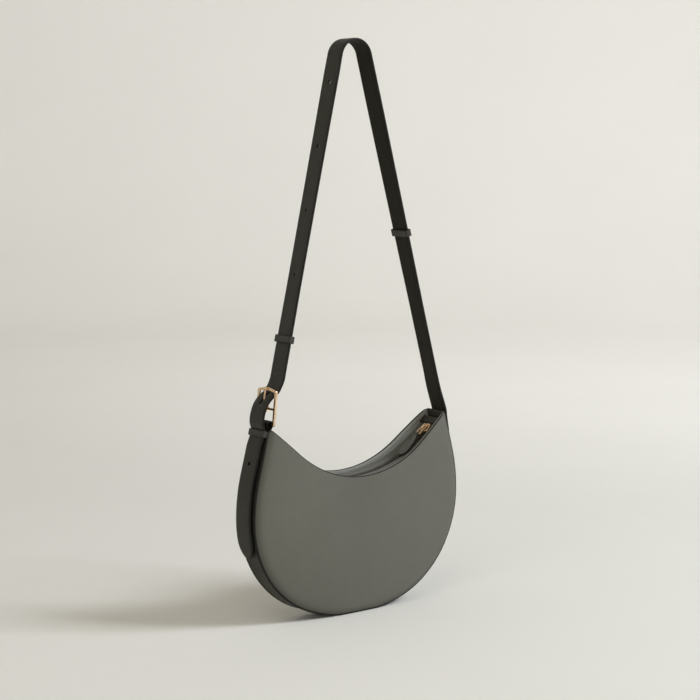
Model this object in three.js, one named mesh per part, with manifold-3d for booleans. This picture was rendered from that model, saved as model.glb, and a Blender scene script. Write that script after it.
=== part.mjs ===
// A small structured hobo bag: two crescent leather panels on a narrow gusset, a recessed curved zip,
// and one long strap, sewn to the gusset at one end and buckled at the other.
// Millimetres. +X towards the sewn end of the strap, -Y the front, +Z up, origin at the centre of the base.
import * as THREE from "three";
import { mergeVertices } from "three/addons/utils/BufferGeometryUtils.js";
import Module from "manifold-3d";

const wasm = await Module();
wasm.setup();

// ---------------------------------------------------------------- driving dimensions
const GAP = 0.3; // clearance between pieces that touch on the real bag

// Side outline of the crescent, right half: base arc, side arc, shoulder arc, then straight to the tip.
const HALF_LENGTH = 130;
const WIDEST_Z = 107.7;
const SIDE_RADIUS = 105.4;
const BASE_RADIUS = 160;
const BASE_ARC_END = 20; // degrees from straight down, where the base arc meets the side arc
const SHOULDER_RADIUS = 170;
const SHOULDER_TURN = 15; // degrees past vertical at the tips

// Rim of the opening: an arc at the middle that runs into straight flanks.
const RIM_LOW_Z = 140.3;
const RIM_RADIUS = 120;
const LEFT_FLANK = 41; // degrees; the buckle end stands a little higher
const RIGHT_FLANK = 37.3;

// Depth: the panels stand SEAM_HALF from the middle at the seam and belly out to BELLY_HALF.
const SEAM_HALF = 15;
const BELLY_HALF = 21.5;
const BELLY_REACH = 133;
const BELLY_POWER = 4;
const BELLY_Z = 128;
const LEATHER = 2;

// Zip: every moving point stays on a circle about this centre, high above the bag.
const ZIP_RADIUS = 150;
const ZIP_LOW_Z = 136.5;
const ZIP_CENTRE = new THREE.Vector2(0, ZIP_LOW_Z + ZIP_RADIUS);
const TEETH_HALF_ANGLE = 43.7;
const TAPE_HALF_ANGLE = 45.2;
const SLIDER_ANGLE = 41.6; // where the slider stands, closed

// Strap
const STRAP_HALF_WIDTH = 11;
const STRAP_THICKNESS = 2.6;
const CROWN_CENTRE = new THREE.Vector2(-2.2, 550.7);
const CROWN_RADIUS = 18.5;
const LEFT_LEAN = 12.9; // degrees of the strand from upright
const RIGHT_LEAN = 15.4;
const FLEX_Z = 254; // height where the standing loop flexes against its two ends
const SEWN_END_Z = 172;
const TAIL_END_Z = 70;
const KEEPER_Z = 191.6;
const KEEPER_HEIGHT = 6.4;
const GUSSET_END_Z = 195.2;
const HOLE_RADIUS = 1.6;
const HOLE_PITCH = 63.5;
const FIRST_HOLE_Z = 280;
const STRAND_HOLES = 5;

// Buckle: heel bar centre, lean of the frame and its outer size
const HEEL = new THREE.Vector2(-106.6, 200.2);
const BUCKLE_LEAN = 6;
const BUCKLE_HALF_WIDTH = 14.6;
const BUCKLE_BAR = 2.9;
const BUCKLE_HEIGHT = 33; // heel bar centre to top bar centre
const CENTRE_BAR_UP = 15.2;
const CENTRE_BAR = 2.4;

const rad = THREE.MathUtils.degToRad;
const v2 = (x, z) => new THREE.Vector2(x, z);

// ---------------------------------------------------------------- solids
function solid(geometry) {
  geometry.deleteAttribute("normal");
  geometry.deleteAttribute("uv");
  const merged = mergeVertices(geometry, 1e-4);
  return new wasm.Manifold(
    new wasm.Mesh({
      numProp: 3,
      vertProperties: new Float32Array(merged.attributes.position.array),
      triVerts: new Uint32Array(merged.index.array),
    }),
  );
}

// A shape drawn in X and Z, filled from y0 to y1.
function plate(shape, y0, y1) {
  const geometry = new THREE.ExtrudeGeometry(shape, { depth: y1 - y0, bevelEnabled: false });
  geometry.rotateX(Math.PI / 2).translate(0, y1, 0);
  return solid(geometry);
}

// A shape drawn in Y and Z, filled from x0 to x1.
function across(shape, x0, x1) {
  const geometry = new THREE.ExtrudeGeometry(shape, { depth: x1 - x0, bevelEnabled: false });
  geometry.applyMatrix4(new THREE.Matrix4().set(0, 0, 1, x0, 1, 0, 0, 0, 0, 1, 0, 0, 0, 0, 0, 1));
  return solid(geometry);
}

function box(x0, x1, y0, y1, z0, z1) {
  const geometry = new THREE.BoxGeometry(x1 - x0, y1 - y0, z1 - z0);
  return solid(geometry.translate((x0 + x1) / 2, (y0 + y1) / 2, (z0 + z1) / 2));
}

// Half of space: everything in front of y = -clear, or behind y = clear.
function half(side, clear = 0) {
  const edges = [side * clear, side * 60].sort((a, b) => a - b);
  return box(-200, 200, edges[0], edges[1], -50, 700);
}

// The box-like region of a ring about the zip's centre, between two radii and two angles from straight down.
function zipSector(r0, r1, from, to, y0, y1, steps = 24) {
  const points = [];
  const at = (r, degrees) => {
    const a = rad(degrees);
    points.push(v2(ZIP_CENTRE.x + r * Math.sin(a), ZIP_CENTRE.y - r * Math.cos(a)));
  };
  for (let i = 0; i <= steps; i++) at(r1, from + ((to - from) * i) / steps);
  for (let i = steps; i >= 0; i--) at(r0, from + ((to - from) * i) / steps);
  return plate(new THREE.Shape(points), y0, y1);
}

// A band of even thickness along a line of points in X and Z, filled to halfWidth each way in Y.
function ribbon(points, thickness, halfWidth) {
  const offsets = [[], []];
  points.forEach((p, i) => {
    const before = points[Math.max(i - 1, 0)];
    const after = points[Math.min(i + 1, points.length - 1)];
    const tangent = after.clone().sub(before).normalize();
    const normal = v2(-tangent.y, tangent.x);
    offsets[0].push(p.clone().addScaledVector(normal, thickness / 2));
    offsets[1].unshift(p.clone().addScaledVector(normal, -thickness / 2));
  });
  return plate(new THREE.Shape([...offsets[0], ...offsets[1]]), -halfWidth, halfWidth);
}

// ---------------------------------------------------------------- the crescent's own curves
const sideCentre = v2(HALF_LENGTH - SIDE_RADIUS, WIDEST_Z);
const shoulderCentre = v2(HALF_LENGTH - SHOULDER_RADIUS, WIDEST_Z);
const baseCentre = sideCentre
  .clone()
  .add(v2(-Math.sin(rad(BASE_ARC_END)), Math.cos(rad(BASE_ARC_END))).multiplyScalar(BASE_RADIUS - SIDE_RADIUS));

// Right half of the outline, `inset` mm inside the outer face, from the flat base up to height `top`.
function sideCurve(inset, top = 230) {
  const points = [];
  const arc = (centre, radius, from, to, steps) => {
    for (let i = 0; i <= steps; i++) {
      const a = rad(from + ((to - from) * i) / steps);
      points.push(centre.clone().add(v2(Math.sin(a), -Math.cos(a)).multiplyScalar(radius - inset)));
    }
  };
  const flatAngle = THREE.MathUtils.radToDeg(Math.acos((baseCentre.y - inset) / (BASE_RADIUS - inset)));
  arc(baseCentre, BASE_RADIUS, flatAngle, BASE_ARC_END, 3);
  points.pop();
  arc(sideCentre, SIDE_RADIUS, BASE_ARC_END, 90, 13);
  points.pop();
  arc(shoulderCentre, SHOULDER_RADIUS, 90, 90 + SHOULDER_TURN, 3);
  const last = points[points.length - 1];
  points.push(v2(last.x - (top - last.y) * Math.tan(rad(SHOULDER_TURN)), top));
  return points;
}

function crescentShape(inset, top = 230) {
  const right = sideCurve(inset, top);
  const left = right.map((p) => v2(-p.x, p.y)).reverse();
  return new THREE.Shape([...right, ...left]);
}

function outlineBand(outer, inner, y = 40, top = 230) {
  return plate(crescentShape(outer, top), -y, y).subtract(plate(crescentShape(inner, top + 10), -y - 5, y + 5));
}

// Everything above the rim line lowered by `drop`.
function aboveRim(drop) {
  const radius = RIM_RADIUS + drop;
  const centreZ = RIM_LOW_Z + RIM_RADIUS;
  const points = [];
  const steps = 12;
  for (let i = 0; i <= steps; i++) {
    const a = rad(-LEFT_FLANK + ((LEFT_FLANK + RIGHT_FLANK) * i) / steps);
    points.push(v2(radius * Math.sin(a), centreZ - radius * Math.cos(a)));
  }
  const reach = 110;
  const flankEnd = (from, degrees) =>
    from.clone().add(v2(Math.cos(rad(degrees)), Math.sin(rad(degrees))).multiplyScalar(reach));
  const right = flankEnd(points[steps], RIGHT_FLANK);
  const left = flankEnd(points[0], 180 - LEFT_FLANK);
  points.push(right, v2(right.x, 300), v2(left.x, 300), left);
  return plate(new THREE.Shape(points), -60, 60);
}

// The bellied space between the panels' outer faces, `offset` mm smaller on each face.
function belly(offset) {
  const rings = 6;
  const reach = 145;
  const face = [];
  for (let i = 0; i <= rings; i++) {
    const r = reach * Math.sqrt(i / rings);
    const share = Math.min(r / BELLY_REACH, 1.02) ** BELLY_POWER;
    face.push(v2(r, SEAM_HALF + (BELLY_HALF - SEAM_HALF) * (1 - share) - offset));
  }
  const back = face.map((p) => v2(p.x, -p.y));
  const profile = [...back, ...face.reverse()];
  return solid(new THREE.LatheGeometry(profile, 34).translate(0, 0, BELLY_Z));
}

const shell = (outer, inner) => belly(outer).subtract(belly(inner));

// ---------------------------------------------------------------- materials and meshes
const finish = (color, roughness, metalness = 0) =>
  new THREE.MeshStandardMaterial({ color, roughness, metalness });

const MATERIALS = {
  panel: () => finish(0x6a6a60, 0.55),
  dark: () => finish(0x33342c, 0.5),
  lining: () => finish(0x4a4840, 0.9),
  board: () => finish(0x9a9284, 0.9),
  tape: () => finish(0x55554e, 0.9),
  metal: () => finish(0xd8b98c, 0.25, 1),
  darkMetal: () => finish(0x4c4840, 0.45, 1),
};

const bag = new THREE.Group();

function addPart(name, material, body) {
  const made = body.getMesh();
  const geometry = new THREE.BufferGeometry();
  geometry.setAttribute("position", new THREE.BufferAttribute(made.vertProperties, 3));
  geometry.setIndex(new THREE.BufferAttribute(made.triVerts, 1));
  geometry.computeVertexNormals();
  const mesh = new THREE.Mesh(geometry, MATERIALS[material]());
  mesh.name = name;
  bag.add(mesh);
}

// ---------------------------------------------------------------- leather body
function outerPanel(side) {
  return plate(crescentShape(0), -40, 40).subtract(aboveRim(0)).intersect(shell(0, LEATHER)).intersect(half(side));
}

// Narrow strip between the panels from tip to tip, cut level below the buckle's leather.
function gusset() {
  const strip = outlineBand(0, LEATHER).subtract(aboveRim(0.5)).intersect(belly(LEATHER + GAP));
  return strip.subtract(box(-140, -60, -40, 40, GUSSET_END_Z, 260));
}

// Leather strip inside each rim; the zip tape is sewn to it.
function facing(side) {
  const depth = 14;
  const strip = plate(crescentShape(LEATHER + GAP), -40, 40).subtract(aboveRim(0.4));
  return strip.intersect(aboveRim(depth)).intersect(shell(2.3, 3.5)).intersect(half(side));
}

// Cardboard-like stiffener behind each panel.
function panelBoard(side) {
  const outline = plate(crescentShape(2.6), -40, 40).subtract(aboveRim(15));
  return outline.intersect(shell(2.3, 3.3)).intersect(half(side));
}

function baseBoard() {
  return outlineBand(2.3, 3.3).intersect(belly(5)).intersect(box(-88, 88, -40, 40, -1, 60));
}

function panelLining(side) {
  const outline = plate(crescentShape(3.6), -40, 40).subtract(aboveRim(12));
  return outline.intersect(shell(3.8, 4.4)).intersect(half(side));
}

function gussetLining() {
  return outlineBand(3.6, 4.2).intersect(belly(4.7)).intersect(box(-140, 140, -40, 40, -1, 168));
}

function slipPocket() {
  const sheet = box(-62, 62, 0, 40, 42, 112);
  return sheet.intersect(shell(4.7, 5.4));
}

// ---------------------------------------------------------------- zip
function zipTape(side) {
  const tape = zipSector(149.6, 150.4, -TAPE_HALF_ANGLE, TAPE_HALF_ANGLE, -40, 40, 30);
  return tape.intersect(belly(3.8)).intersect(half(side, 3.1));
}

// One row of teeth, with a notch between each two teeth on its upper face.
function zipTeeth(side) {
  const teeth = 42;
  const step = (2 * TEETH_HALF_ANGLE) / teeth;
  const points = [];
  const at = (r, degrees) =>
    points.push(v2(ZIP_CENTRE.x + r * Math.sin(rad(degrees)), ZIP_CENTRE.y - r * Math.cos(rad(degrees))));
  for (let i = 0; i <= 28; i++) at(151.2, -TEETH_HALF_ANGLE + (2 * TEETH_HALF_ANGLE * i) / 28);
  for (let i = teeth; i > 0; i--) {
    const end = -TEETH_HALF_ANGLE + i * step;
    at(148.8, end);
    at(148.8, end - step * 0.55);
    if (i > 1) {
      at(149.5, end - step * 0.62);
      at(149.5, end - step * 0.93);
    }
  }
  const y = [side * 0.6, side * 2.8].sort((a, b) => a - b);
  return plate(new THREE.Shape(points), y[0], y[1]);
}

// Slider: top and bottom plates round the teeth, joined by a thin wedge, with a bridge for the pull.
function zipSlider() {
  const reach = 2.1; // degrees each way along the zip
  const sector = (r0, r1, a, y) => zipSector(r0, r1, SLIDER_ANGLE - a, SLIDER_ANGLE + a, -y, y, 4);
  const lip = (side) =>
    sector(147.6, 149.25, reach, 4.7).intersect(half(side, 4.0));
  const bridge = sector(143.4, 147.3, 1.5, 1.3).subtract(sector(144.9, 147, 0.85, 2));
  return sector(147.1, 148.5, reach, 4.7)
    .add(sector(151.5, 152.8, reach, 4.4))
    .add(sector(147.2, 152.7, 0.9, 0.25))
    .add(lip(-1))
    .add(lip(1))
    .add(bridge);
}

// The pull hangs from the bridge at this point, and lies downhill along the zip.
const PULL_PIVOT = v2(
  ZIP_CENTRE.x + 145.9 * Math.sin(rad(SLIDER_ANGLE)),
  ZIP_CENTRE.y - 145.9 * Math.cos(rad(SLIDER_ANGLE)),
);
const PULL_SLOPE = 34.2; // degrees below level, pointing towards -X

// From a drawing with the pivot at its origin and the pull along +X, lying flat, to its place on the bag.
function layPull(geometry) {
  const turn = new THREE.Matrix4().makeRotationY(Math.PI - rad(PULL_SLOPE));
  turn.setPosition(PULL_PIVOT.x, 0, PULL_PIVOT.y);
  return solid(geometry.applyMatrix4(turn));
}

function roundedBar(x0, x1, y0, y1, corner) {
  const shape = new THREE.Shape();
  shape.moveTo(x0 + corner, y0);
  shape.lineTo(x1 - corner, y0).absarc(x1 - corner, y0 + corner, corner, -Math.PI / 2, 0);
  shape.lineTo(x1, y1 - corner).absarc(x1 - corner, y1 - corner, corner, 0, Math.PI / 2);
  shape.lineTo(x0 + corner, y1).absarc(x0 + corner, y1 - corner, corner, Math.PI / 2, Math.PI);
  shape.lineTo(x0, y0 + corner).absarc(x0 + corner, y0 + corner, corner, Math.PI, 1.5 * Math.PI);
  return shape;
}

// Metal link: a flat rounded ring whose near end runs through the bridge.
function pullLink() {
  const ring = roundedBar(-0.7, 12.5, -3.6, 3.6, 1.6);
  ring.holes.push(roundedBar(0.7, 11, -2.2, 2.2, 0.8));
  const geometry = new THREE.ExtrudeGeometry(ring, { depth: 1.3, bevelEnabled: false, curveSegments: 3 });
  return layPull(geometry.translate(0, 0, -0.65));
}

// Leaf-shaped leather tab, folded through the far end of the link.
function pullTab() {
  const leaf = new THREE.Shape();
  leaf.moveTo(13.4, -2.6);
  leaf.quadraticCurveTo(26, -6.2, 41, -4.4).absarc(41, 0, 4.4, -Math.PI / 2, Math.PI / 2);
  leaf.quadraticCurveTo(26, 6.2, 13.4, 2.6);
  const body = new THREE.ExtrudeGeometry(leaf, { depth: 2, bevelEnabled: false, curveSegments: 7 });
  const loop = new THREE.Shape();
  loop.absarc(11.75, 0, 2.2, 0, 2 * Math.PI);
  const eye = new THREE.Path();
  eye.absarc(11.75, 0, 1.25, 0, 2 * Math.PI, true);
  loop.holes.push(eye);
  const fold = new THREE.ExtrudeGeometry(loop, { depth: 3.8, bevelEnabled: false, curveSegments: 8 });
  return layPull(body.translate(0, 0, -1)).add(layPull(fold.rotateX(Math.PI / 2).translate(0, 1.9, 0)));
}

const zipStop = (from, to, y0, y1) => zipSector(148.7, 151.3, from, to, y0, y1, 2);

// Leather tab that covers the end of the zip, between the two facings.
function zipEndTab(side) {
  const angles = [side * 44, side * 47.6].sort((a, b) => a - b);
  const block = zipSector(146.8, 148.4, angles[0], angles[1], -40, 40, 3);
  return block.intersect(belly(3.8)).intersect(box(-107, 107, -40, 40, 150, 210));
}

// ---------------------------------------------------------------- strap
const leftTangent = CROWN_CENTRE.clone().add(
  v2(-Math.cos(rad(LEFT_LEAN)), Math.sin(rad(LEFT_LEAN))).multiplyScalar(CROWN_RADIUS),
);
const rightTangent = CROWN_CENTRE.clone().add(
  v2(Math.cos(rad(RIGHT_LEAN)), Math.sin(rad(RIGHT_LEAN))).multiplyScalar(CROWN_RADIUS),
);
const leftStrand = (z) => v2(leftTangent.x - (leftTangent.y - z) * Math.tan(rad(LEFT_LEAN)), z);
const rightStrand = (z) => v2(rightTangent.x + (rightTangent.y - z) * Math.tan(rad(RIGHT_LEAN)), z);

// Round knuckle across the whole strap at the flex line: both ends of the strap fill it, and the
// standing loop is hollowed to turn about it.
function flexKnuckle(radius) {
  const disc = new THREE.Shape();
  disc.absarc(0, FLEX_Z, radius, 0, 2 * Math.PI);
  return across(disc, -200, 200);
}

const belowFlex = () => box(-200, 200, -40, 40, 0, FLEX_Z).add(flexKnuckle(STRAP_HALF_WIDTH));

// The standing loop, from flex line to flex line over the crown, with the punched holes of its left strand.
function strapLoop() {
  const points = [leftStrand(FLEX_Z)];
  const steps = 14;
  for (let i = 0; i <= steps; i++) {
    const from = 180 - LEFT_LEAN;
    const a = rad(from + ((RIGHT_LEAN - from) * i) / steps);
    points.push(CROWN_CENTRE.clone().add(v2(Math.cos(a), Math.sin(a)).multiplyScalar(CROWN_RADIUS)));
  }
  points.push(rightStrand(FLEX_Z));
  let loop = ribbon(points, STRAP_THICKNESS, STRAP_HALF_WIDTH).subtract(flexKnuckle(STRAP_HALF_WIDTH + GAP));
  for (let i = 0; i < STRAND_HOLES; i++) {
    const z = FIRST_HOLE_Z + i * HOLE_PITCH * Math.cos(rad(LEFT_LEAN));
    loop = loop.subtract(punch(leftStrand(z), -LEFT_LEAN));
  }
  return loop;
}

// A round punch through the strap, across its face, where the strap leans `lean` degrees.
function punch(at, lean) {
  const tool = new THREE.CylinderGeometry(HOLE_RADIUS, HOLE_RADIUS, 12, 10);
  tool.rotateZ(Math.PI / 2).rotateY(rad(lean)).translate(at.x, 0, at.y);
  return solid(tool);
}

// Outline of the bag at height z, `out` mm outside its face, on the left side.
function leftFace(z, out) {
  const points = sideCurve(-out);
  const after = points.findIndex((p) => p.y >= z);
  const [a, b] = [points[after - 1], points[after]];
  return v2(-THREE.MathUtils.lerp(a.x, b.x, (z - a.y) / (b.y - a.y)), z);
}

// Buckle end of the strap: down behind the top bar, out over the centre and heel bars, through the
// keeper, and down the gusset as a tail with a rounded tip.
function strapBuckleEnd() {
  const route = [
    leftStrand(FLEX_Z + 14),
    leftStrand(FLEX_Z),
    leftStrand(243),
    v2(-97.2, 236),
    v2(-101.3, 230.4),
    v2(-107, 226),
    v2(-112, 219.5),
    v2(-115.3, 211),
    v2(-116.5, 202),
    leftFace(KEEPER_Z + KEEPER_HEIGHT / 2 + 0.5, 2.1),
    leftFace(KEEPER_Z, 1.9),
    leftFace(KEEPER_Z - KEEPER_HEIGHT / 2 - 0.5, 2.1),
  ];
  const clearance = 3.2;
  for (const z of [180, 170, 158, 145, 132, 119, 106, 94, 82, TAIL_END_Z]) route.push(leftFace(z, clearance));
  const curve = new THREE.SplineCurve(route);
  const strap = ribbon(curve.getPoints(54), STRAP_THICKNESS, STRAP_HALF_WIDTH);
  const tip = new THREE.Shape();
  tip.moveTo(-30, 300).lineTo(-30, TAIL_END_Z + 22).lineTo(-STRAP_HALF_WIDTH + 0.6, TAIL_END_Z + 22);
  tip.quadraticCurveTo(-STRAP_HALF_WIDTH + 0.8, TAIL_END_Z + 2, 0, TAIL_END_Z);
  tip.quadraticCurveTo(STRAP_HALF_WIDTH - 0.8, TAIL_END_Z + 2, STRAP_HALF_WIDTH - 0.6, TAIL_END_Z + 22);
  tip.lineTo(30, TAIL_END_Z + 22).lineTo(30, 300);
  return strap
    .intersect(belowFlex())
    .intersect(across(tip, -200, 0))
    .subtract(box(-113.2, -103.2, -2, 2, 216.6, 232.4))
    .subtract(punch(leftFace(163, clearance), 15));
}

// Sewn end of the strap, flat on the outside of the right gusset.
function strapSewnEnd() {
  const onGusset = STRAP_THICKNESS / 2 + GAP;
  const face = (z) => leftFace(z, onGusset).multiply(v2(-1, 1));
  const points = [rightStrand(FLEX_Z + 14), rightStrand(215), face(194), face(SEWN_END_Z)];
  return ribbon(points, STRAP_THICKNESS, STRAP_HALF_WIDTH).intersect(belowFlex());
}

// A sewn leather loop that slides on a strand.
function slidingLoop(strand, z, lean) {
  const [wall, height] = [1.3, 7];
  const [innerX, innerY] = [2.3, STRAP_HALF_WIDTH + 0.4];
  const ring = roundedBar(-innerX - wall, innerX + wall, -innerY - wall, innerY + wall, 1.4);
  ring.holes.push(roundedBar(-innerX, innerX, -innerY, innerY, 0.5));
  const geometry = new THREE.ExtrudeGeometry(ring, { depth: height, bevelEnabled: false, curveSegments: 3 });
  geometry.translate(0, 0, -height / 2).rotateY(rad(lean));
  const at = strand(z);
  return solid(geometry.translate(at.x, 0, at.y));
}

// Fixed keeper: a leather staple over the strap, its feet in the gusset seams.
function fixedKeeper() {
  const wall = 1.3;
  const cavity = 3.5;
  const inside = STRAP_HALF_WIDTH + 0.4;
  const block = outlineBand(-cavity - wall, -GAP, inside + wall);
  const hollow = outlineBand(-cavity, 0, inside);
  const [low, high] = [KEEPER_Z - KEEPER_HEIGHT / 2, KEEPER_Z + KEEPER_HEIGHT / 2];
  return block.subtract(hollow).intersect(box(-140, 0, -40, 40, low, high));
}

// ---------------------------------------------------------------- buckle
// From a drawing with Y across the strap as its X, and up the frame as its Y, to its place at the heel bar.
function placeBuckle(geometry) {
  const a = rad(BUCKLE_LEAN);
  const place = new THREE.Matrix4().set(
    0, Math.sin(a), Math.cos(a), HEEL.x,
    1, 0, 0, 0,
    0, Math.cos(a), -Math.sin(a), HEEL.y,
    0, 0, 0, 1,
  );
  return solid(geometry.applyMatrix4(place));
}

// Rectangular frame with two windows and an arched top bar.
function buckleFrame() {
  const [w, b] = [BUCKLE_HALF_WIDTH, BUCKLE_BAR];
  const [low, high, arch, corner] = [-b / 2, BUCKLE_HEIGHT + b / 2, 1.6, 2];
  const outline = new THREE.Shape();
  outline.moveTo(-w + corner, low).lineTo(w - corner, low);
  outline.absarc(w - corner, low + corner, corner, -Math.PI / 2, 0);
  outline.lineTo(w, high - corner).absarc(w - corner, high - corner, corner, 0, Math.PI / 2);
  outline.quadraticCurveTo(0, high + 2 * arch, -w + corner, high);
  outline.absarc(-w + corner, high - corner, corner, Math.PI / 2, Math.PI);
  outline.lineTo(-w, low + corner).absarc(-w + corner, low + corner, corner, Math.PI, 1.5 * Math.PI);
  const inner = w - b;
  const lowerWindow = roundedBar(-inner, inner, b / 2, CENTRE_BAR_UP - CENTRE_BAR / 2, 0.6);
  const upper = new THREE.Path();
  const [u0, u1] = [CENTRE_BAR_UP + CENTRE_BAR / 2, BUCKLE_HEIGHT - b / 2];
  upper.moveTo(-inner, u0).lineTo(inner, u0).lineTo(inner, u1).quadraticCurveTo(0, u1 + 2 * arch, -inner, u1);
  outline.holes.push(lowerWindow, upper);
  const geometry = new THREE.ExtrudeGeometry(outline, { depth: 2.4, bevelEnabled: false, curveSegments: 5 });
  return placeBuckle(geometry.translate(0, 0, -1.2));
}

const upBuckle = (up, inward) => {
  const a = rad(BUCKLE_LEAN);
  return v2(
    HEEL.x + up * Math.sin(a) + inward * Math.cos(a),
    HEEL.y + up * Math.cos(a) - inward * Math.sin(a),
  );
};

// Prong: an eye round the centre bar and a pin out through the strap that rests on the top bar.
function buckleProng() {
  const centre = upBuckle(CENTRE_BAR_UP, 0);
  const ring = new THREE.Shape();
  ring.absarc(centre.x, centre.y, 3.1, 0, 2 * Math.PI);
  const hole = new THREE.Path();
  hole.absarc(centre.x, centre.y, 2, 0, 2 * Math.PI, true);
  ring.holes.push(hole);
  const pin = ribbon(
    [upBuckle(17.2, -2.2), upBuckle(22, -3.2), upBuckle(30, -2.9), upBuckle(36.4, -2.6)],
    1.9,
    1.1,
  );
  return plate(ring, -1.4, 1.4).add(pin.subtract(plate(new THREE.Shape(hole.getPoints(10)), -5, 5)));
}

// Chape: a doubled strip of leather round the heel bar, its two ends held inside the gusset's end.
function chape() {
  const down = v2(-5.2, -21.6).normalize();
  const outward = v2(down.y, -down.x);
  const local = (along, off) => HEEL.clone().addScaledVector(down, along).addScaledVector(outward, off);
  const radius = 3.2;
  const points = [local(22, 0.95), local(12, 1), local(5, 1.9)];
  for (let i = 0; i <= 8; i++) {
    const a = rad(10 - (200 * i) / 8);
    points.push(local(radius * Math.sin(a), radius * Math.cos(a)));
  }
  points.push(local(5, -1.9), local(12, -1), local(22, -0.95));
  return ribbon(points, 1.5, 8.5);
}

// ---------------------------------------------------------------- assembly
const FRONT = -1;
const BACK = 1;
for (const [word, side] of [["front", FRONT], ["back", BACK]]) {
  addPart(`${word}_panel`, "panel", outerPanel(side));
  addPart(`${word}_board`, "board", panelBoard(side));
  addPart(`${word}_lining`, "lining", panelLining(side));
  addPart(`${word}_facing`, "panel", facing(side));
  addPart(`${word}_zip_tape`, "tape", zipTape(side));
  addPart(`${word}_zip_teeth`, "darkMetal", zipTeeth(side));
}
addPart("gusset", "dark", gusset());
addPart("base_board", "board", baseBoard());
addPart("gusset_lining", "lining", gussetLining());
addPart("slip_pocket", "lining", slipPocket());
addPart("zip_slider", "metal", zipSlider());
addPart("pull_link", "metal", pullLink());
addPart("pull_tab", "dark", pullTab());
addPart("front_top_stop", "darkMetal", zipStop(44, 44.8, -2.8, -0.6));
addPart("back_top_stop", "darkMetal", zipStop(44, 44.8, 0.6, 2.8));
addPart("bottom_stop", "darkMetal", zipStop(-44.9, -44, -2.8, 2.8));
addPart("left_zip_end_tab", "dark", zipEndTab(-1));
addPart("right_zip_end_tab", "dark", zipEndTab(1));
addPart("strap_loop", "dark", strapLoop());
addPart("strap_buckle_end", "dark", strapBuckleEnd());
addPart("strap_sewn_end", "dark", strapSewnEnd());
addPart("left_sliding_loop", "dark", slidingLoop(leftStrand, 280.8, LEFT_LEAN));
addPart("right_sliding_loop", "dark", slidingLoop(rightStrand, 378.6, -RIGHT_LEAN));
addPart("fixed_keeper", "dark", fixedKeeper());
addPart("buckle_frame", "metal", buckleFrame());
addPart("buckle_prong", "metal", buckleProng());
addPart("chape", "dark", chape());

export default bag;
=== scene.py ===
"""Hobo bag: its looks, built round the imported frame.

Drawings below are in millimetres and become metres when a mesh is made. +Z up, the front panel faces -Y,
the buckle end is at -X, and the origin is the centre of the flat stretch of the base.
"""

import math

import bmesh
import bpy
import numpy as np
from mathutils import Matrix, Vector


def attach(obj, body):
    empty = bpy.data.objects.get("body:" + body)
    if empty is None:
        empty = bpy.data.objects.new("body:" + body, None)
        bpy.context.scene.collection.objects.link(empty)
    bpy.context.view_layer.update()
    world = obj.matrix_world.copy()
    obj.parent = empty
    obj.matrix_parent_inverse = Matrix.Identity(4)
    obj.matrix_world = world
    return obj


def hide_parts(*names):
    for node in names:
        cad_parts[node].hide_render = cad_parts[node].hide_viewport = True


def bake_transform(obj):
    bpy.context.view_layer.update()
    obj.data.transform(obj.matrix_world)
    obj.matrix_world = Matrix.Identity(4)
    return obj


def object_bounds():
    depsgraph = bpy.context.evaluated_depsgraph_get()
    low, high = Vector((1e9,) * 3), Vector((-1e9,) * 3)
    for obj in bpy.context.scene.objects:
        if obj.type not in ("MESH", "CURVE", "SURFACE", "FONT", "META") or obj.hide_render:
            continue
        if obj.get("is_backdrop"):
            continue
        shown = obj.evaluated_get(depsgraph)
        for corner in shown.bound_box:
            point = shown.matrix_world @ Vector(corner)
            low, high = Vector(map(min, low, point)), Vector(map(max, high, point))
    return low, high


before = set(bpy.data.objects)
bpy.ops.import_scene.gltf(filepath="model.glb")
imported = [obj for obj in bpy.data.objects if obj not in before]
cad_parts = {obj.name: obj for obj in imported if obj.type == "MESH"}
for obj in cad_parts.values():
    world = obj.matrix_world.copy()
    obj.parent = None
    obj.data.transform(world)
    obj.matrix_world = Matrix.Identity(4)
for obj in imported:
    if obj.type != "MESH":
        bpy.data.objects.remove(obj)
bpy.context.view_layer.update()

MM = 0.001
scene = bpy.context.scene

# ------------------------------------------------------------------ the frame's own curves, in mm
SIDE_CENTRE, SIDE_RADIUS = (24.6, 107.7), 105.4
BASE_RADIUS, BASE_ARC_END = 160.0, 20.0
SHOULDER_CENTRE, SHOULDER_RADIUS, SHOULDER_TURN = (-40.0, 107.7), 170.0, 15.0
RIM_LOW, RIM_RADIUS, LEFT_FLANK, RIGHT_FLANK = 140.3, 120.0, 41.0, 37.3
SEAM_HALF, BELLY_HALF, BELLY_REACH, BELLY_Z = 15.0, 21.5, 133.0, 128.0
ZIP_CENTRE_Z, ZIP_RADIUS = 286.5, 150.0
CROWN_CENTRE, CROWN_RADIUS = np.array([-2.2, 550.7]), 18.5
LEFT_LEAN, RIGHT_LEAN = math.radians(12.9), math.radians(15.4)
FLEX_Z = 254.0
GUSSET_END_Z = 195.2
STRAP_HALF, STRAP_THICK = 11.0, 2.6
FIRST_HOLE_Z, HOLE_PITCH, HOLE_RADIUS, STRAND_HOLES, TAIL_HOLE_Z = 280.0, 63.5, 1.6, 5, 163.0
KEEPER_Z, KEEPER_HEIGHT = 191.6, 6.4
HEEL, BUCKLE_LEAN = np.array([-106.6, 200.2]), math.radians(6)
BUCKLE_HALF, BUCKLE_BAR, BUCKLE_HEIGHT, CENTRE_BAR_UP = 15.2, 3.1, 32.4, 15.2

base_centre = np.array(SIDE_CENTRE) + (BASE_RADIUS - SIDE_RADIUS) * np.array(
    [-math.sin(math.radians(BASE_ARC_END)), math.cos(math.radians(BASE_ARC_END))]
)


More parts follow.
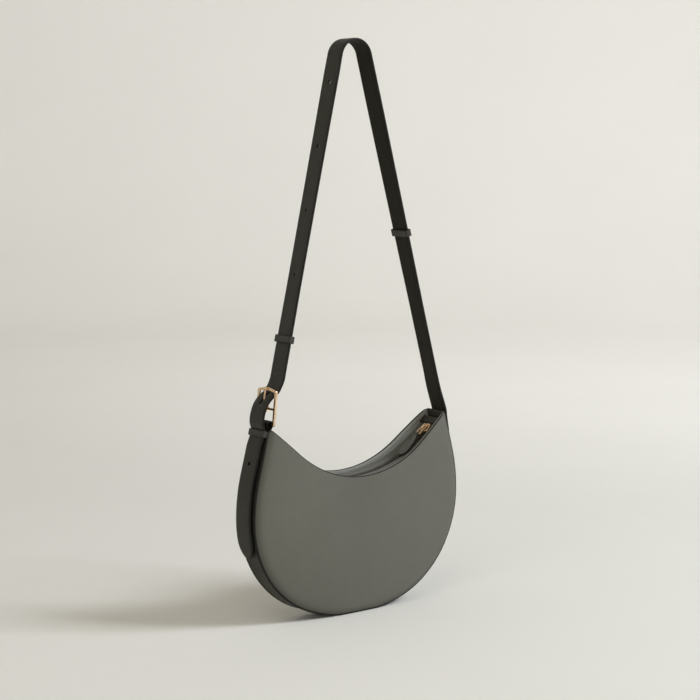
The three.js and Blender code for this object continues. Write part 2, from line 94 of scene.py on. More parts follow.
def arc(centre, radius, start, stop, steps):
    """Points on a circle in XZ, by degrees from straight down towards +X."""
    a = np.radians(np.linspace(start, stop, steps + 1))
    return np.stack([centre[0] + radius * np.sin(a), centre[1] - radius * np.cos(a)], 1)


def outline_right(inset=0.0, top=235.0):
    """Right half of the crescent's outline, from the middle of the base up past the tip."""
    flat = math.degrees(math.acos((base_centre[1] - inset) / (BASE_RADIUS - inset)))
    shoulder = arc(SHOULDER_CENTRE, SHOULDER_RADIUS - inset, 90, 90 + SHOULDER_TURN, 30)
    end = shoulder[-1]
    rise = np.linspace(0, top - end[1], 30)[1:]
    upper = np.stack([end[0] - rise * math.tan(math.radians(SHOULDER_TURN)), end[1] + rise], 1)
    base = arc(base_centre, BASE_RADIUS - inset, flat, BASE_ARC_END, 24)
    level = np.stack([np.linspace(0, base[0, 0], 12), np.full(12, base[0, 1])], 1)[:-1]
    side = arc(SIDE_CENTRE, SIDE_RADIUS - inset, BASE_ARC_END, 90, 110)
    return np.concatenate([level, base, side[1:], shoulder[1:], upper])


def rim_z(x, drop=0.0):
    """Height of the rim line, lowered by drop, at x."""
    radius, centre = RIM_RADIUS + drop, RIM_LOW + RIM_RADIUS
    x = np.asarray(x, float)
    flank = np.radians(np.where(x < 0, LEFT_FLANK, RIGHT_FLANK))
    bend, reach = radius * np.sin(flank), np.abs(x)
    inside = centre - np.sqrt(radius**2 - np.minimum(reach, bend) ** 2)
    return inside + np.maximum(reach - bend, 0) * np.tan(flank)


def belly_half(x, z):
    """Half the bag's depth at a point of its side view."""
    r = np.hypot(x, np.asarray(z) - BELLY_Z) / BELLY_REACH
    return SEAM_HALF + (BELLY_HALF - SEAM_HALF) * (1 - np.minimum(r, 1.02) ** 4)


def run_along(points):
    """Distance along a polyline to each of its points."""
    return np.concatenate([[0], np.cumsum(np.linalg.norm(np.diff(points, axis=0), axis=1))])


def resample(points, count=None, step=None):
    """A polyline's points again, evenly spaced along its length."""
    points = np.asarray(points, float)
    run = run_along(points)
    n = count or max(2, int(round(run[-1] / step)))
    at = np.linspace(0, run[-1], n + 1)
    return np.stack([np.interp(at, run, points[:, k]) for k in range(points.shape[1])], 1)


def standing(points):
    """Points (x, z) of the side view as 3-D points in the middle plane."""
    points = np.asarray(points, float)
    return np.stack([points[:, 0], np.zeros(len(points)), points[:, 1]], 1)


def half_outline(inset, drop, side):
    """The outline at inset, from the middle of the base to the tip on one side, on the rim line at drop."""
    right = outline_right(inset)
    above = right[:, 1] - rim_z(side * right[:, 0], drop)
    last = int(np.argmax((above > 0) & (right[:, 1] > 120)))
    share = -above[last - 1] / (above[last] - above[last - 1])
    tip = right[last - 1] + share * (right[last] - right[last - 1])
    return np.concatenate([right[:last], tip[None]]) * [side, 1]


def outline_to_rim(inset, drop):
    """The outline at inset, from the left tip down round the base to the right tip."""
    left, right = half_outline(inset, drop, -1), half_outline(inset, drop, 1)
    return np.concatenate([left[:0:-1], right])


def rim_line(inset, drop):
    """The rim line at drop, between the points where it meets the outline at inset."""
    whole = outline_to_rim(inset, drop)
    x = np.linspace(whole[0, 0], whole[-1, 0], 320)
    return np.stack([x, rim_z(x, drop)], 1)


# ------------------------------------------------------------------ meshes
def placed(name, data):
    """An object of this data, in the scene."""
    made = bpy.data.objects.new(name, data)
    scene.collection.objects.link(made)
    return made


def clean(mesh, distance):
    """Merges vertices nearer than distance in metres, turns faces outward and shades them smooth."""
    work = bmesh.new()
    work.from_mesh(mesh)
    bmesh.ops.remove_doubles(work, verts=work.verts, dist=distance)
    bmesh.ops.recalc_face_normals(work, faces=work.faces)
    work.to_mesh(mesh)
    work.free()
    mesh.polygons.foreach_set("use_smooth", [True] * len(mesh.polygons))


def mesh_object(name, verts, faces, slots=None):
    """A mesh from millimetre vertices. slots is each face's material index."""
    mesh = bpy.data.meshes.new(name)
    mesh.from_pydata([tuple(v) for v in np.asarray(verts, float) * MM], [], [list(f) for f in faces])
    if slots is not None:
        mesh.polygons.foreach_set("material_index", np.asarray(slots, np.int32))
    clean(mesh, 1e-6)
    return placed(name, mesh)


def loop_normals(loop):
    """Outward mitred normals of a closed loop in XZ."""
    before, after = np.roll(loop, 1, 0), np.roll(loop, -1, 0)
    d0 = loop - before
    d1 = after - loop
    d0 /= np.maximum(np.linalg.norm(d0, axis=1, keepdims=True), 1e-9)
    d1 /= np.maximum(np.linalg.norm(d1, axis=1, keepdims=True), 1e-9)
    n0 = np.stack([d0[:, 1], -d0[:, 0]], 1)
    n1 = np.stack([d1[:, 1], -d1[:, 0]], 1)
    n = n0 + n1
    n /= np.maximum(np.linalg.norm(n, axis=1, keepdims=True), 1e-9)
    area = np.sum(loop[:, 0] * after[:, 1] - after[:, 0] * loop[:, 1])
    mitre = 1 / np.maximum(np.sum(n * n0, axis=1, keepdims=True), 0.5)
    return n * mitre * (1 if area > 0 else -1)


def ring_numbers(first, count, size):
    """Vertex numbers of count rings of this size, which follow one another from first."""
    return [list(range(first + size * i, first + size * (i + 1))) for i in range(count)]


def joined_rings(rings):
    """Quads from each closed ring of vertex numbers to the next."""
    faces = []
    for a, b in zip(rings[:-1], rings[1:]):
        ahead = [(k + 1) % len(a) for k in range(len(a))]
        faces += [[a[k], a[m], b[m], b[k]] for k, m in enumerate(ahead)]
    return faces


def sheet_plate(name, low, high, rows, outer, inner, edge, rounds=6, painted=0.0, rim_slot=1):
    """A thin closed plate between two polylines of the side view, with a rounded edge all round.

    outer and inner give y for points (x, z). low and high hold as many points, and may share their
    ends. Faces have slot 0 outside, 1 on the edge and 2 inside. painted is how far the edge's slot
    runs in along low, and rim_slot is the slot of the edge along high.
    """
    n = len(low) - 1
    share = np.tile(np.linspace(0, 1, rows + 1), (n + 1, 1))
    if painted:
        first = np.minimum(painted / np.maximum(np.linalg.norm(high - low, axis=1), 1e-6), 1 / rows)
        share[:, 1:] = first[:, None] + (1 - first)[:, None] * np.linspace(0, 1, rows)
    grid = low[:, None] + (high - low)[:, None] * share[..., None]
    closed_start = np.linalg.norm(low[0] - high[0]) < 0.05
    closed_end = np.linalg.norm(low[-1] - high[-1]) < 0.05
    loop_ids = [(i, 0) for i in range(n + 1)]
    loop_ids += [] if closed_end else [(n, j) for j in range(1, rows)]
    loop_ids += [(i, rows) for i in range(n - int(closed_end), int(closed_start) - 1, -1)]
    loop_ids += [] if closed_start else [(0, j) for j in range(rows - 1, 0, -1)]
    flat = grid.reshape(-1, 2)
    count = len(flat)
    y_out, y_in = outer(flat[:, 0], flat[:, 1]), inner(flat[:, 0], flat[:, 1])
    verts = [np.stack([flat[:, 0], y_out, flat[:, 1]], 1), np.stack([flat[:, 0], y_in, flat[:, 1]], 1)]
    faces, slots = [], []

    def cell(i, j):
        return i * (rows + 1) + j

    for i in range(n):
        for j in range(rows):
            quad = [cell(i, j), cell(i + 1, j), cell(i + 1, j + 1), cell(i, j + 1)]
            faces.append(quad)
            slots.append(1 if painted and j == 0 else 0)
            faces.append([count + q for q in reversed(quad)])
            slots.append(2)
    ids = [cell(i, j) for i, j in loop_ids]
    loop = flat[ids]
    out = loop_normals(loop)
    ring_ids = [ids]
    for k in range(1, rounds):
        turn = math.pi * k / rounds
        at = loop + out * edge * math.sin(turn)
        y = y_out[ids] + (y_in[ids] - y_out[ids]) * (1 - math.cos(turn)) / 2
        ring_ids.append([2 * count + (k - 1) * len(ids) + m for m in range(len(ids))])
        verts.append(np.stack([at[:, 0], y, at[:, 1]], 1))
    ring_ids.append([count + q for q in ids])
    faces += joined_rings(ring_ids)
    slots += ([1] * n + [rim_slot] * (len(ids) - n)) * rounds
    return mesh_object(name, np.concatenate(verts), faces, slots)


def swept(name, path, section, section_slots, width_axis, closed=False, scale=None):
    """A tube along 3-D points, with capped ends unless it is closed.

    section is (across, out) pairs: across runs along width_axis, and out along tangent x across.
    scale gives each point's (across, out) factors.
    """
    path = np.asarray(path, float)
    n, m = len(path), len(section)
    if closed:
        tangent = np.roll(path, -1, 0) - np.roll(path, 1, 0)
    else:
        tangent = np.gradient(path, axis=0)
    tangent /= np.linalg.norm(tangent, axis=1, keepdims=True)
    across = np.broadcast_to(np.asarray(width_axis, float), (n, 3)).copy()
    across -= tangent * np.sum(across * tangent, axis=1, keepdims=True)
    across /= np.linalg.norm(across, axis=1, keepdims=True)
    out = np.cross(tangent, across)
    scale = np.ones((n, 2)) if scale is None else np.asarray(scale, float)
    section = np.asarray(section, float)
    verts = (
        path[:, None]
        + across[:, None] * (section[None, :, 0] * scale[:, :1])[..., None]
        + out[:, None] * (section[None, :, 1] * scale[:, 1:])[..., None]
    ).reshape(-1, 3)
    rings = ring_numbers(0, n, m)
    if closed:
        return mesh_object(name, verts, joined_rings(rings + rings[:1]), list(section_slots) * n)
    faces = joined_rings(rings) + [rings[0], rings[-1]]
    return mesh_object(name, verts, faces, list(section_slots) * (n - 1) + [1, 1])


def band_section(half, thick, corner, crease=0.0, columns=8):
    """Section of a leather band: flat faces in slot 0, creased near each edge, and round edges in slot 1."""
    top = [(x, 0.0) for x in np.linspace(-half + corner, half - corner, columns + 1)]
    if crease:
        line = half - corner - 1.0
        marks = [(s * (line + d), -crease * (d == 0)) for s in (-1, 1) for d in (-0.35, 0, 0.35)]
        top = sorted([p for p in top if abs(abs(p[0]) - line) > 0.6 or abs(p[0]) > line + 0.9] + marks)
    top = [(x, thick / 2 + y) for x, y in top]
    turn = np.linspace(0, math.pi, 7)[1:-1]
    right = [(half - corner + corner * math.sin(t), thick / 2 * math.cos(t)) for t in turn]
    bottom = [(x, -y) for x, y in reversed(top)]
    left = [(-x, -y) for x, y in right]
    section = top + right + bottom + left
    slots = [0] * (len(top) - 1) + [1] * (len(right) + 1) + [0] * (len(bottom) - 1) + [1] * (len(left) + 1)
    return section, slots


def join(name, objects):
    """Objects merged into one, before any material is given."""
    mesh = bpy.data.meshes.new(name)
    work = bmesh.new()
    for o in objects:
        work.from_mesh(o.data)
        bpy.data.objects.remove(o)
    work.to_mesh(mesh)
    work.free()
    return placed(name, mesh)


def stitches(name, points, normals, length=2.7, gap=1.0, radius=0.3, lift=0.12):
    """A row of thread stitches along a line that lies on a surface with these normals."""
    points, normals = np.asarray(points, float), np.asarray(normals, float)
    run = run_along(points)
    pitch = length + gap
    count = int(run[-1] / pitch)
    margin = (run[-1] - count * pitch + gap) / 2
    around = 6
    # share of the length, of the radius, and rise off the surface, from hole to hole
    along = [(0.0, 0.35, -1.0), (0.12, 0.85, -0.2), (0.5, 1.0, 0.35), (0.88, 0.85, -0.2), (1.0, 0.35, -1.0)]
    verts, faces = [], []

    def sample(table, s):
        return np.array([np.interp(s, run, table[:, k]) for k in range(3)])

    for c in range(count):
        start = margin + c * pitch
        first = len(verts)
        for share, thick, rise in along:
            s = start + share * length
            p, up = sample(points, s), sample(normals, s)
            up /= np.linalg.norm(up)
            ahead = sample(points, min(s + 0.3, run[-1])) - sample(points, max(s - 0.3, 0))
            ahead /= np.linalg.norm(ahead)
            side = np.cross(up, ahead)
            centre = p + up * (lift + rise * radius)
            for k in range(around):
                a = 2 * math.pi * k / around
                verts.append(centre + radius * thick * (math.cos(a) * side + 0.8 * math.sin(a) * up))
        rings = ring_numbers(first, len(along), around)
        faces += joined_rings(rings) + [rings[0], rings[-1]]
    return mesh_object(name, verts, faces)


def flat_shape(name, outline, holes, depth, bevel, place, resolution=2):
    """A filled drawing with rounded edges, depth thick in all, laid by a 4x4 matrix."""
    curve = bpy.data.curves.new(name, "CURVE")
    curve.dimensions, curve.fill_mode = "2D", "BOTH"
    for ring in [outline, *holes]:
        spline = curve.splines.new("POLY")
        spline.points.add(len(ring) - 1)
        for point, (x, y) in zip(spline.points, ring):
            point.co = (x * MM, y * MM, 0, 1)
        spline.use_cyclic_u = True
    curve.offset = -bevel * MM
    curve.bevel_depth = bevel * MM
    curve.bevel_resolution = resolution
    curve.extrude = (depth / 2 - bevel) * MM
    source = placed(name + "_curve", curve)
    mesh = bpy.data.meshes.new_from_object(source.evaluated_get(bpy.context.evaluated_depsgraph_get()))
    bpy.data.objects.remove(source)
    mesh.name = name
    mesh.transform(place)
    clean(mesh, 2e-6)
    return placed(name, mesh)


def crisp(obj, degrees):
    """Marks edges that turn by more than degrees as sharp, while the rest shades smooth."""
    work = bmesh.new()
    work.from_mesh(obj.data)
    for e in work.edges:
        e.smooth = len(e.link_faces) != 2 or e.calc_face_angle(0) < math.radians(degrees)
    work.to_mesh(obj.data)
    work.free()
    return obj


def round_ring(x0, x1, y0, y1, corner, steps=5):
    """Corners of a rounded rectangle, as points."""
    ring = []
    for cx, cy, start in (
        (x1 - corner, y1 - corner, 0),
        (x0 + corner, y1 - corner, 90),
        (x0 + corner, y0 + corner, 180),
        (x1 - corner, y0 + corner, 270),
    ):
        for k in range(steps + 1):
            a = math.radians(start + 90 * k / steps)
            ring.append((cx + corner * math.cos(a), cy + corner * math.sin(a)))
    return ring


# ------------------------------------------------------------------ materials
def rgb(r, g, b):
    """A 0-255 sRGB colour, with channels over 10, as linear RGBA."""
    return (*(((c / 255 + 0.055) / 1.055) ** 2.4 for c in (r, g, b)), 1.0)


class Nodes:
    """A material's node tree, with short ways to add and join nodes."""

    def __init__(self, name, **sockets):
        self.material = bpy.data.materials.new(name)
        self.material.use_nodes = True
        self.tree = self.material.node_tree
        self.shader = self.tree.nodes["Principled BSDF"]
        for socket, value in sockets.items():
            self.shader.inputs[socket.replace("_", " ")].default_value = value
        self.place = self.add("TexCoord").outputs["Object"]

    def add(self, kind, inputs=None, **settings):
        """A node. inputs gives its sockets a value each, or another node's output."""
        node = self.tree.nodes.new("ShaderNode" + kind)
        for key, value in settings.items():
            setattr(node, key, value)
        for key, value in (inputs or {}).items():
            socket = node.inputs[key]
            if isinstance(value, bpy.types.NodeSocket):
                self.tree.links.new(value, socket)
            else:
                socket.default_value = value
        return node

    def noise(self, scale, detail=2.0, rough=0.5, stretch=None):
        """Cloudy noise, drawn out along an axis where stretch is small."""
        at = self.place
        if stretch:
            at = self.add("Mapping", {"Vector": at, "Scale": stretch}).outputs["Vector"]
        node = self.add("TexNoise", {"Vector": at, "Scale": scale, "Detail": detail, "Roughness": rough})
        return node.outputs["Fac"]

    def cells(self, scale, feature="F1"):
        """Distance inside small cells."""
        node = self.add("TexVoronoi", {"Vector": self.place, "Scale": scale}, feature=feature)
        return node.outputs["Distance"]

    def wave(self, scale, turn, distortion):
        """Parallel bands across an axis turned by turn."""
        at = self.add("Mapping", {"Vector": self.place, "Rotation": turn}).outputs["Vector"]
        inputs = {"Vector": at, "Scale": scale, "Distortion": distortion}
        return self.add("TexWave", inputs, wave_type="BANDS").outputs["Fac"]

    def math(self, operation, a, b):
        """Arithmetic on two values."""
        return self.add("Math", {0: a, 1: b}, operation=operation).outputs[0]

    def span(self, value, low, high, to_low, to_high):
        """value, mapped from one range to another."""
        ends = {"From Min": low, "From Max": high, "To Min": to_low, "To Max": to_high}
        return self.add("MapRange", {"Value": value, **ends}).outputs["Result"]

    def mix(self, share, a, b):
        """A colour between a and b."""
        node = self.add("Mix", {"Factor": share}, data_type="RGBA")
        for socket, value in ((node.inputs[6], a), (node.inputs[7], b)):
            if isinstance(value, bpy.types.NodeSocket):
                self.tree.links.new(value, socket)
            else:
                socket.default_value = value
        return node.outputs[2]

    def finish(self, colour, roughness, height, depth, strength):
        """The material, with its bump depth in metres."""
        bump = self.add("Bump", {"Height": height, "Distance": depth, "Strength": strength})
        self.tree.links.new(colour, self.shader.inputs["Base Color"])
        self.tree.links.new(roughness, self.shader.inputs["Roughness"])
        self.tree.links.new(bump.outputs["Normal"], self.shader.inputs["Normal"])
        return self.material


def leather(name, light, dark, roughness, grain=1150.0, depth=0.00006, shine=0.42, shade_colour=None):
    """Fine-grained calf: a slow drift of tone, small mottling, pebbled grain with painted shade in its
    furrows, and hair pores.

    Its last argument is the colour of a painted shade. The leather darkens towards it where the mesh's
    painted-shade attribute says so.
    """
    n = Nodes(name, Specular_IOR_Level=shine)
    drift = n.noise(11.0, 3.0)
    mottle = n.noise(150.0, 4.0, 0.6)
    grain_cells = n.cells(grain, "SMOOTH_F1")
    pores = n.cells(grain * 2.3)
    tone = n.math("ADD", n.math("MULTIPLY", drift, 0.6), n.math("MULTIPLY", mottle, 0.4))
    colour = n.mix(n.span(tone, 0.36, 0.64, 0.0, 1.0), dark, light)
    # painted shade: the colour darkens in the grain's furrows
    furrow_shade = n.span(grain_cells, 0.35, 0.75, 0.0, 0.28)
    colour = n.mix(furrow_shade, colour, dark)
    # painted shade: towards the shade colour near the panel's outline, where the rolled edge turns from the
    # light
    if shade_colour:
        near = n.add("Attribute", attribute_name="edge_shade").outputs["Fac"]
        colour = n.mix(n.math("MULTIPLY", near, n.span(mottle, 0.3, 0.7, 0.85, 1.0)), colour, shade_colour)
    worn = n.math("ADD", mottle, n.math("MULTIPLY", grain_cells, 0.3))
    rough = n.span(worn, 0.3, 0.95, roughness - 0.06, roughness + 0.09)
    height = n.math("SUBTRACT", n.math("MULTIPLY", pores, 0.25), grain_cells)
    height = n.math("ADD", height, n.math("MULTIPLY", mottle, 0.8))
    return n.finish(colour, rough, height, depth, 0.8)


def edge_paint(name, light, dark):
    """Layered edge paint: smooth and satin, with slight ripples where it was laid on."""
    n = Nodes(name, Specular_IOR_Level=0.25)
    ripple = n.noise(420.0, 2.0)
    colour = n.mix(n.span(n.noise(60.0, 3.0), 0.35, 0.65, 0.0, 1.0), dark, light)
    return n.finish(colour, n.span(ripple, 0.3, 0.7, 0.5, 0.62), ripple, 0.00008, 0.5)


def woven(name, light, dark, roughness, pitch, turn=0.785):
    """Cloth of two sets of threads that cross at turn to each side, in radians."""
    n = Nodes(name, Sheen_Weight=0.25, Sheen_Roughness=0.5, Specular_IOR_Level=0.25)
    warp = n.wave(pitch, (0.0, turn, 0.0), 0.4)
    weft = n.wave(pitch, (0.0, -turn, 0.0), 0.4)
    across = n.wave(pitch, (0.0, 0.0, 0.785), 0.4)
    under = n.math("SUBTRACT", 1.0, across)
    weave = n.math("MAXIMUM", n.math("MULTIPLY", warp, across), n.math("MULTIPLY", weft, under))
    worn = n.noise(70.0, 4.0)
    colour = n.mix(n.span(weave, 0.0, 0.8, 0.0, 0.75), dark, light)
    colour = n.mix(n.span(worn, 0.35, 0.7, 0.0, 0.25), colour, dark)
    rough = n.span(worn, 0.3, 0.7, roughness - 0.05, roughness + 0.05)
    return n.finish(colour, rough, weave, 0.00012, 0.8)


def polished(name, light, dark, roughness):
    """Plated metal with faint tumbling marks and slow changes of tone."""
    n = Nodes(name, Metallic=1.0)
    haze = n.noise(160.0, 4.0)
    marks = n.noise(2400.0, 2.0, 0.6, (1.0, 0.25, 1.0))
    colour = n.mix(n.span(haze, 0.35, 0.65, 0.0, 1.0), dark, light)
    worn = n.math("ADD", haze, n.math("MULTIPLY", marks, 0.6))
    rough = n.span(worn, 0.5, 1.1, roughness - 0.05, roughness + 0.07)
    return n.finish(colour, rough, marks, 0.00001, 0.4)


def board(name, light, dark):
    """Pressed fibre board: long fibres and specks."""
    n = Nodes(name, Specular_IOR_Level=0.2)
    fibres = n.noise(900.0, 3.0, 0.65, (1.0, 1.0, 0.18))
    colour = n.mix(n.span(fibres, 0.35, 0.65, 0.0, 1.0), dark, light)
    return n.finish(colour, n.span(fibres, 0.3, 0.7, 0.82, 0.92), fibres, 0.0001, 0.7)


def thread(name, light, dark):
    """Twisted thread."""
    n = Nodes(name, Sheen_Weight=0.3, Specular_IOR_Level=0.3)
    ply = n.wave(1500.0, (0.5, 0.6, 0.4), 0.5)
    colour = n.mix(n.span(ply, 0.2, 0.9, 0.0, 1.0), dark, light)
    return n.finish(colour, n.span(n.noise(900.0), 0.3, 0.7, 0.55, 0.7), ply, 0.00005, 0.8)


# the grey panel leather darkens towards a painted shade near its outline
GREY = leather("grey_leather", rgb(101, 101, 93), rgb(94, 94, 86), 0.52, shade_colour=rgb(66, 65, 58))
GREY_FLESH = leather("grey_leather_back", rgb(120, 116, 104), rgb(100, 97, 88), 0.85, 700.0, 0.00012)
# the facing is the panel's grey leather, painted lighter to stand in for the light it gets in the opening
FACING = leather("facing_leather", rgb(157, 157, 151), rgb(141, 141, 135), 0.6, 1000.0, 0.00008)
DARK = leather("dark_leather", rgb(40, 40, 30), rgb(34, 34, 25), 0.5)
# the pull tab's leather is lighter than the strap, and painted lighter still to stand in for the light it
# catches in the shaded opening
TAB = leather("tab_leather", rgb(92, 92, 86), rgb(80, 80, 74), 0.5)
DARK_INNER = leather("dark_leather_inner", rgb(41, 39, 30), rgb(35, 33, 25), 0.7, shine=0.18)
# the loops and keeper are the strap's dark leather, painted lighter to stand in for the light their faces
# catch
LOOP = leather("loop_leather", rgb(54, 53, 45), rgb(46, 45, 38), 0.42)
DARK_FLESH = leather("dark_leather_back", rgb(62, 60, 52), rgb(48, 47, 41), 0.85, 700.0, 0.00012)
EDGE_DARK = edge_paint("edge_paint_dark", rgb(24, 23, 20), rgb(18, 17, 15))
EDGE_GREY = edge_paint("edge_paint_grey", rgb(42, 41, 36), rgb(34, 33, 29))
LINING = woven("lining_cloth", rgb(112, 106, 92), rgb(84, 79, 69), 0.85, 340.0)
TAPE = woven("zip_tape_cloth", rgb(106, 106, 99), rgb(78, 78, 72), 0.85, 420.0, 0.45)
GOLD = polished("pale_gold", rgb(238, 210, 177), rgb(226, 195, 159), 0.16)
TEETH = polished("zip_dark_metal", rgb(96, 92, 82), rgb(76, 72, 64), 0.42)
BOARD = board("fibre_board", rgb(168, 158, 140), rgb(140, 130, 114))
THREAD_GREY = thread("thread_grey", rgb(98, 98, 92), rgb(72, 72, 67))
THREAD_DARK = thread("thread_dark", rgb(50, 50, 43), rgb(36, 36, 31))


def dress(obj, body, materials, slot, *nodes):
    """Materials, body and the CAD nodes that obj stands for, which it hides. slot is not used."""
    for m in materials:
        obj.data.materials.append(m)
    if body:
        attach(obj, body)
    if nodes:
        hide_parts(*nodes)
    return obj


def outline_distance(x, z):
    """Distance from points of the side view to the crescent's outline."""
    line = resample(outline_to_rim(0.0, 0.0), step=0.25)
    x, z = np.asarray(x, float).ravel(), np.asarray(z, float).ravel()
    return np.array([np.min(np.hypot(line[:, 0] - a, line[:, 1] - b)) for a, b in zip(x, z)])


def rounded_tips(low, high, radius):
    """Low and high curves that share sharp end points, with those corners rounded."""
    low, high = [np.asarray(c, float) for c in (low, high)]
    for flip in (False, True):
        a, b = (low[::-1], high[::-1]) if flip else (low, high)
        tip = a[0]
        run_a = np.linalg.norm(a - tip, axis=1)
        run_b = np.linalg.norm(b - tip, axis=1)
        ua = a[np.argmax(run_a > 6)] - tip
        ub = b[np.argmax(run_b > 6)] - tip
        ua, ub = ua / np.linalg.norm(ua), ub / np.linalg.norm(ub)
        half = math.acos(float(np.clip(ua @ ub, -1, 1))) / 2
        cut = radius / math.tan(half)
        centre = tip + (ua + ub) / np.linalg.norm(ua + ub) * radius / math.sin(half)
        start, stop = tip + ua * cut - centre, tip + ub * cut - centre
        spread = math.atan2(start[0] * stop[1] - start[1] * stop[0], float(start @ stop))
        turned = []
        for t in spread * np.linspace(0, 1, 13):
            turn = np.array([[math.cos(t), -math.sin(t)], [math.sin(t), math.cos(t)]])
            turned.append(centre + turn @ start)
        turned = np.array(turned)
        a = np.concatenate([turned[6::-1], a[run_a > cut]])
        b = np.concatenate([turned[6:], b[run_b > cut]])
        low, high = (a[::-1], b[::-1]) if flip else (a, b)
    return low, high


def graded(points, count):
    """A curve resampled with its points closer together towards both ends."""
    fine, ease = 2000, 0.35
    dense = resample(points, fine)
    t = np.linspace(0, 1, count + 1)
    t = t - ease * np.sin(2 * math.pi * t) / (2 * math.pi)
    return np.stack([np.interp(t * fine, np.arange(fine + 1), dense[:, k]) for k in (0, 1)], 1)


def belly_face(side, inset):
    """y of a surface that lies inset inside the belly, front (-1) or back (1), as a function of x and z."""
    return lambda x, z: side * (belly_half(x, z) - inset)


# ------------------------------------------------------------------ leather body
EDGE = 1.1
PANEL_THICK, TIP_RADIUS, PAINTED = 2.0, 2.0, 0.8
ROLL_DROP, ROLL_REACH = 2.6, 9.5
LIP_DROP, LIP_REACH = 1.9, 2.2
# how far in from the panel's edge the painted shade reaches, in mm
EDGE_SHADE_REACH = 7.0
FACING_TOP, FACING_FOOT, FACING_OUT, FACING_IN = 0.9, 13.5, 2.12, 3.5
LINING_INSET, LINING_OUT, LINING_IN = 3.9, 3.82, 4.38
TAPE_IN = 3.62
SIDES = (("front", -1), ("back", 1))
LINING_ALL = [LINING, LINING, LINING]


def past_edge(x, z):
    """Distance from points of the side view in from the panels' edge."""
    return outline_distance(x, z) - EDGE


def panel_face(side):
    """Outer surface of a panel, rolled in at its edge."""
    return lambda x, z: side * (
        belly_half(x, z) - ROLL_DROP * np.clip(1 - past_edge(x, z) / ROLL_REACH, 0, 1) ** 2
    )


def panel_back(side):
    """Inner surface of a panel, with a lip that keeps the rolled edge thick."""
    return lambda x, z: side * (
        belly_half(x, z) - PANEL_THICK - LIP_DROP * np.exp(-((past_edge(x, z) / LIP_REACH) ** 2))
    )


def loose_cloth(side, inset):
    """A lining's surface, which waves a little."""
    return lambda x, z: side * (belly_half(x, z) - inset - 0.05 * np.sin(x / 7.0) * np.sin(z / 9.0))


def body_side(word, side):
    """Panel, facing, lining and stitching of the front or the back."""
    low, high = rounded_tips(outline_to_rim(EDGE, EDGE), rim_line(EDGE, EDGE), TIP_RADIUS)
    low, high = graded(low, 190), graded(high, 190)
    name = f"{word}_panel_leather"
    faces = panel_face(side), panel_back(side)
    panel = sheet_plate(name, low, high, 48, *faces, EDGE, painted=PAINTED, rim_slot=3)
    # painted shade near the outline: how strongly the panel's colour darkens there
    at = np.array([v.co for v in panel.data.vertices]) / MM
    near = np.clip(1 - past_edge(at[:, 0], at[:, 2]) / EDGE_SHADE_REACH, 0, 1) ** 1.5
    edge_shade = panel.data.attributes.new("edge_shade", "FLOAT", "POINT")
    edge_shade.data.foreach_set("value", near.astype(np.float32))
    dress(panel, "bag", [GREY, EDGE_DARK, GREY_FLESH, EDGE_GREY], "grey_leather", f"{word}_panel")

    low, high = [resample(rim_line(2.8, drop), 150) for drop in (FACING_FOOT, FACING_TOP)]
    faces = belly_face(side, FACING_OUT), belly_face(side, FACING_IN)
    facing = sheet_plate(f"{word}_facing_leather", low, high, 8, *faces, 0.45, rim_slot=2)
    dress(facing, "bag", [GREY_FLESH, EDGE_GREY, FACING], "grey_leather", f"{word}_facing")

    for row, drop in (("rim", 3.6), ("tape", 12.4)):
        line = resample(rim_line(4.5, drop), 160)
        y = belly_face(side, FACING_IN)(line[:, 0], line[:, 1])
        at = np.stack([line[:, 0], y, line[:, 1]], 1)
        sewn = stitches(f"{word}_{row}_stitches", at, np.tile([0.0, -side, 0.0], (len(at), 1)))
        dress(sewn, "bag", [THREAD_GREY], None)

    low = resample(outline_to_rim(LINING_INSET, 12.5), 110)
    high = resample(rim_line(LINING_INSET, 12.5), 110)
    faces = loose_cloth(side, LINING_OUT), loose_cloth(side, LINING_IN)
    lining = sheet_plate(f"{word}_lining_cloth", low, high, 26, *faces, 0.25, 4)
    dress(lining, "bag", LINING_ALL, "lining", f"{word}_lining")


for word, side in SIDES:
    body_side(word, side)


WIDE_HALF = 10.0


def along_outline(inset, drop, half_width, top=None):
    """Path and scale for a band that follows the outline, half_width(x, z) to each side."""
    line = outline_to_rim(inset, drop)
    if top:
        line = line[line[:, 1] <= top]
    line = resample(line, step=2.0)
    half = half_width(line[:, 0], line[:, 1])
    return standing(line), np.stack([half / WIDE_HALF, np.ones(len(line))], 1)


def wide_section(thick, dish, roll=0.0):
    """Section, WIDE_HALF to each side, of a band pressed in by dish at its middle and roll at its edges."""
    columns, flat, turn, turn_out = 14, 9.6, 9.86, 0.36 * thick
    x = np.linspace(-flat, flat, columns + 1)
    top = [(v, thick / 2) for v in x]
    sides = [(turn, turn_out), (WIDE_HALF, roll / 2), (turn, -turn_out + roll)]
    share = x[::-1] / WIDE_HALF
    low = list(zip(x[::-1], -thick / 2 + dish * (1 - share**4) + roll * share**8))
    back = [(-a, b) for a, b in reversed(sides)]
    return top + sides + low + back, [2] * columns + [1] * 4 + [0] * columns + [1] * 4


GUSSET_CLEAR, GUSSET_THICK, GUSSET_DISH, GUSSET_ROLL = 3.05, 1.7, 0.35, 0.45
path, scale = along_outline(EDGE, 0.9, belly_face(1, GUSSET_CLEAR))
path, scale = path[path[:, 2] < GUSSET_END_Z], scale[path[:, 2] < GUSSET_END_Z]
section = wide_section(GUSSET_THICK, GUSSET_DISH, GUSSET_ROLL)
gusset = swept("gusset_leather", path, *section, (0, 1, 0), scale=scale)
dress(gusset, "bag", [DARK, EDGE_DARK, DARK_FLESH], "dark_leather", "gusset")

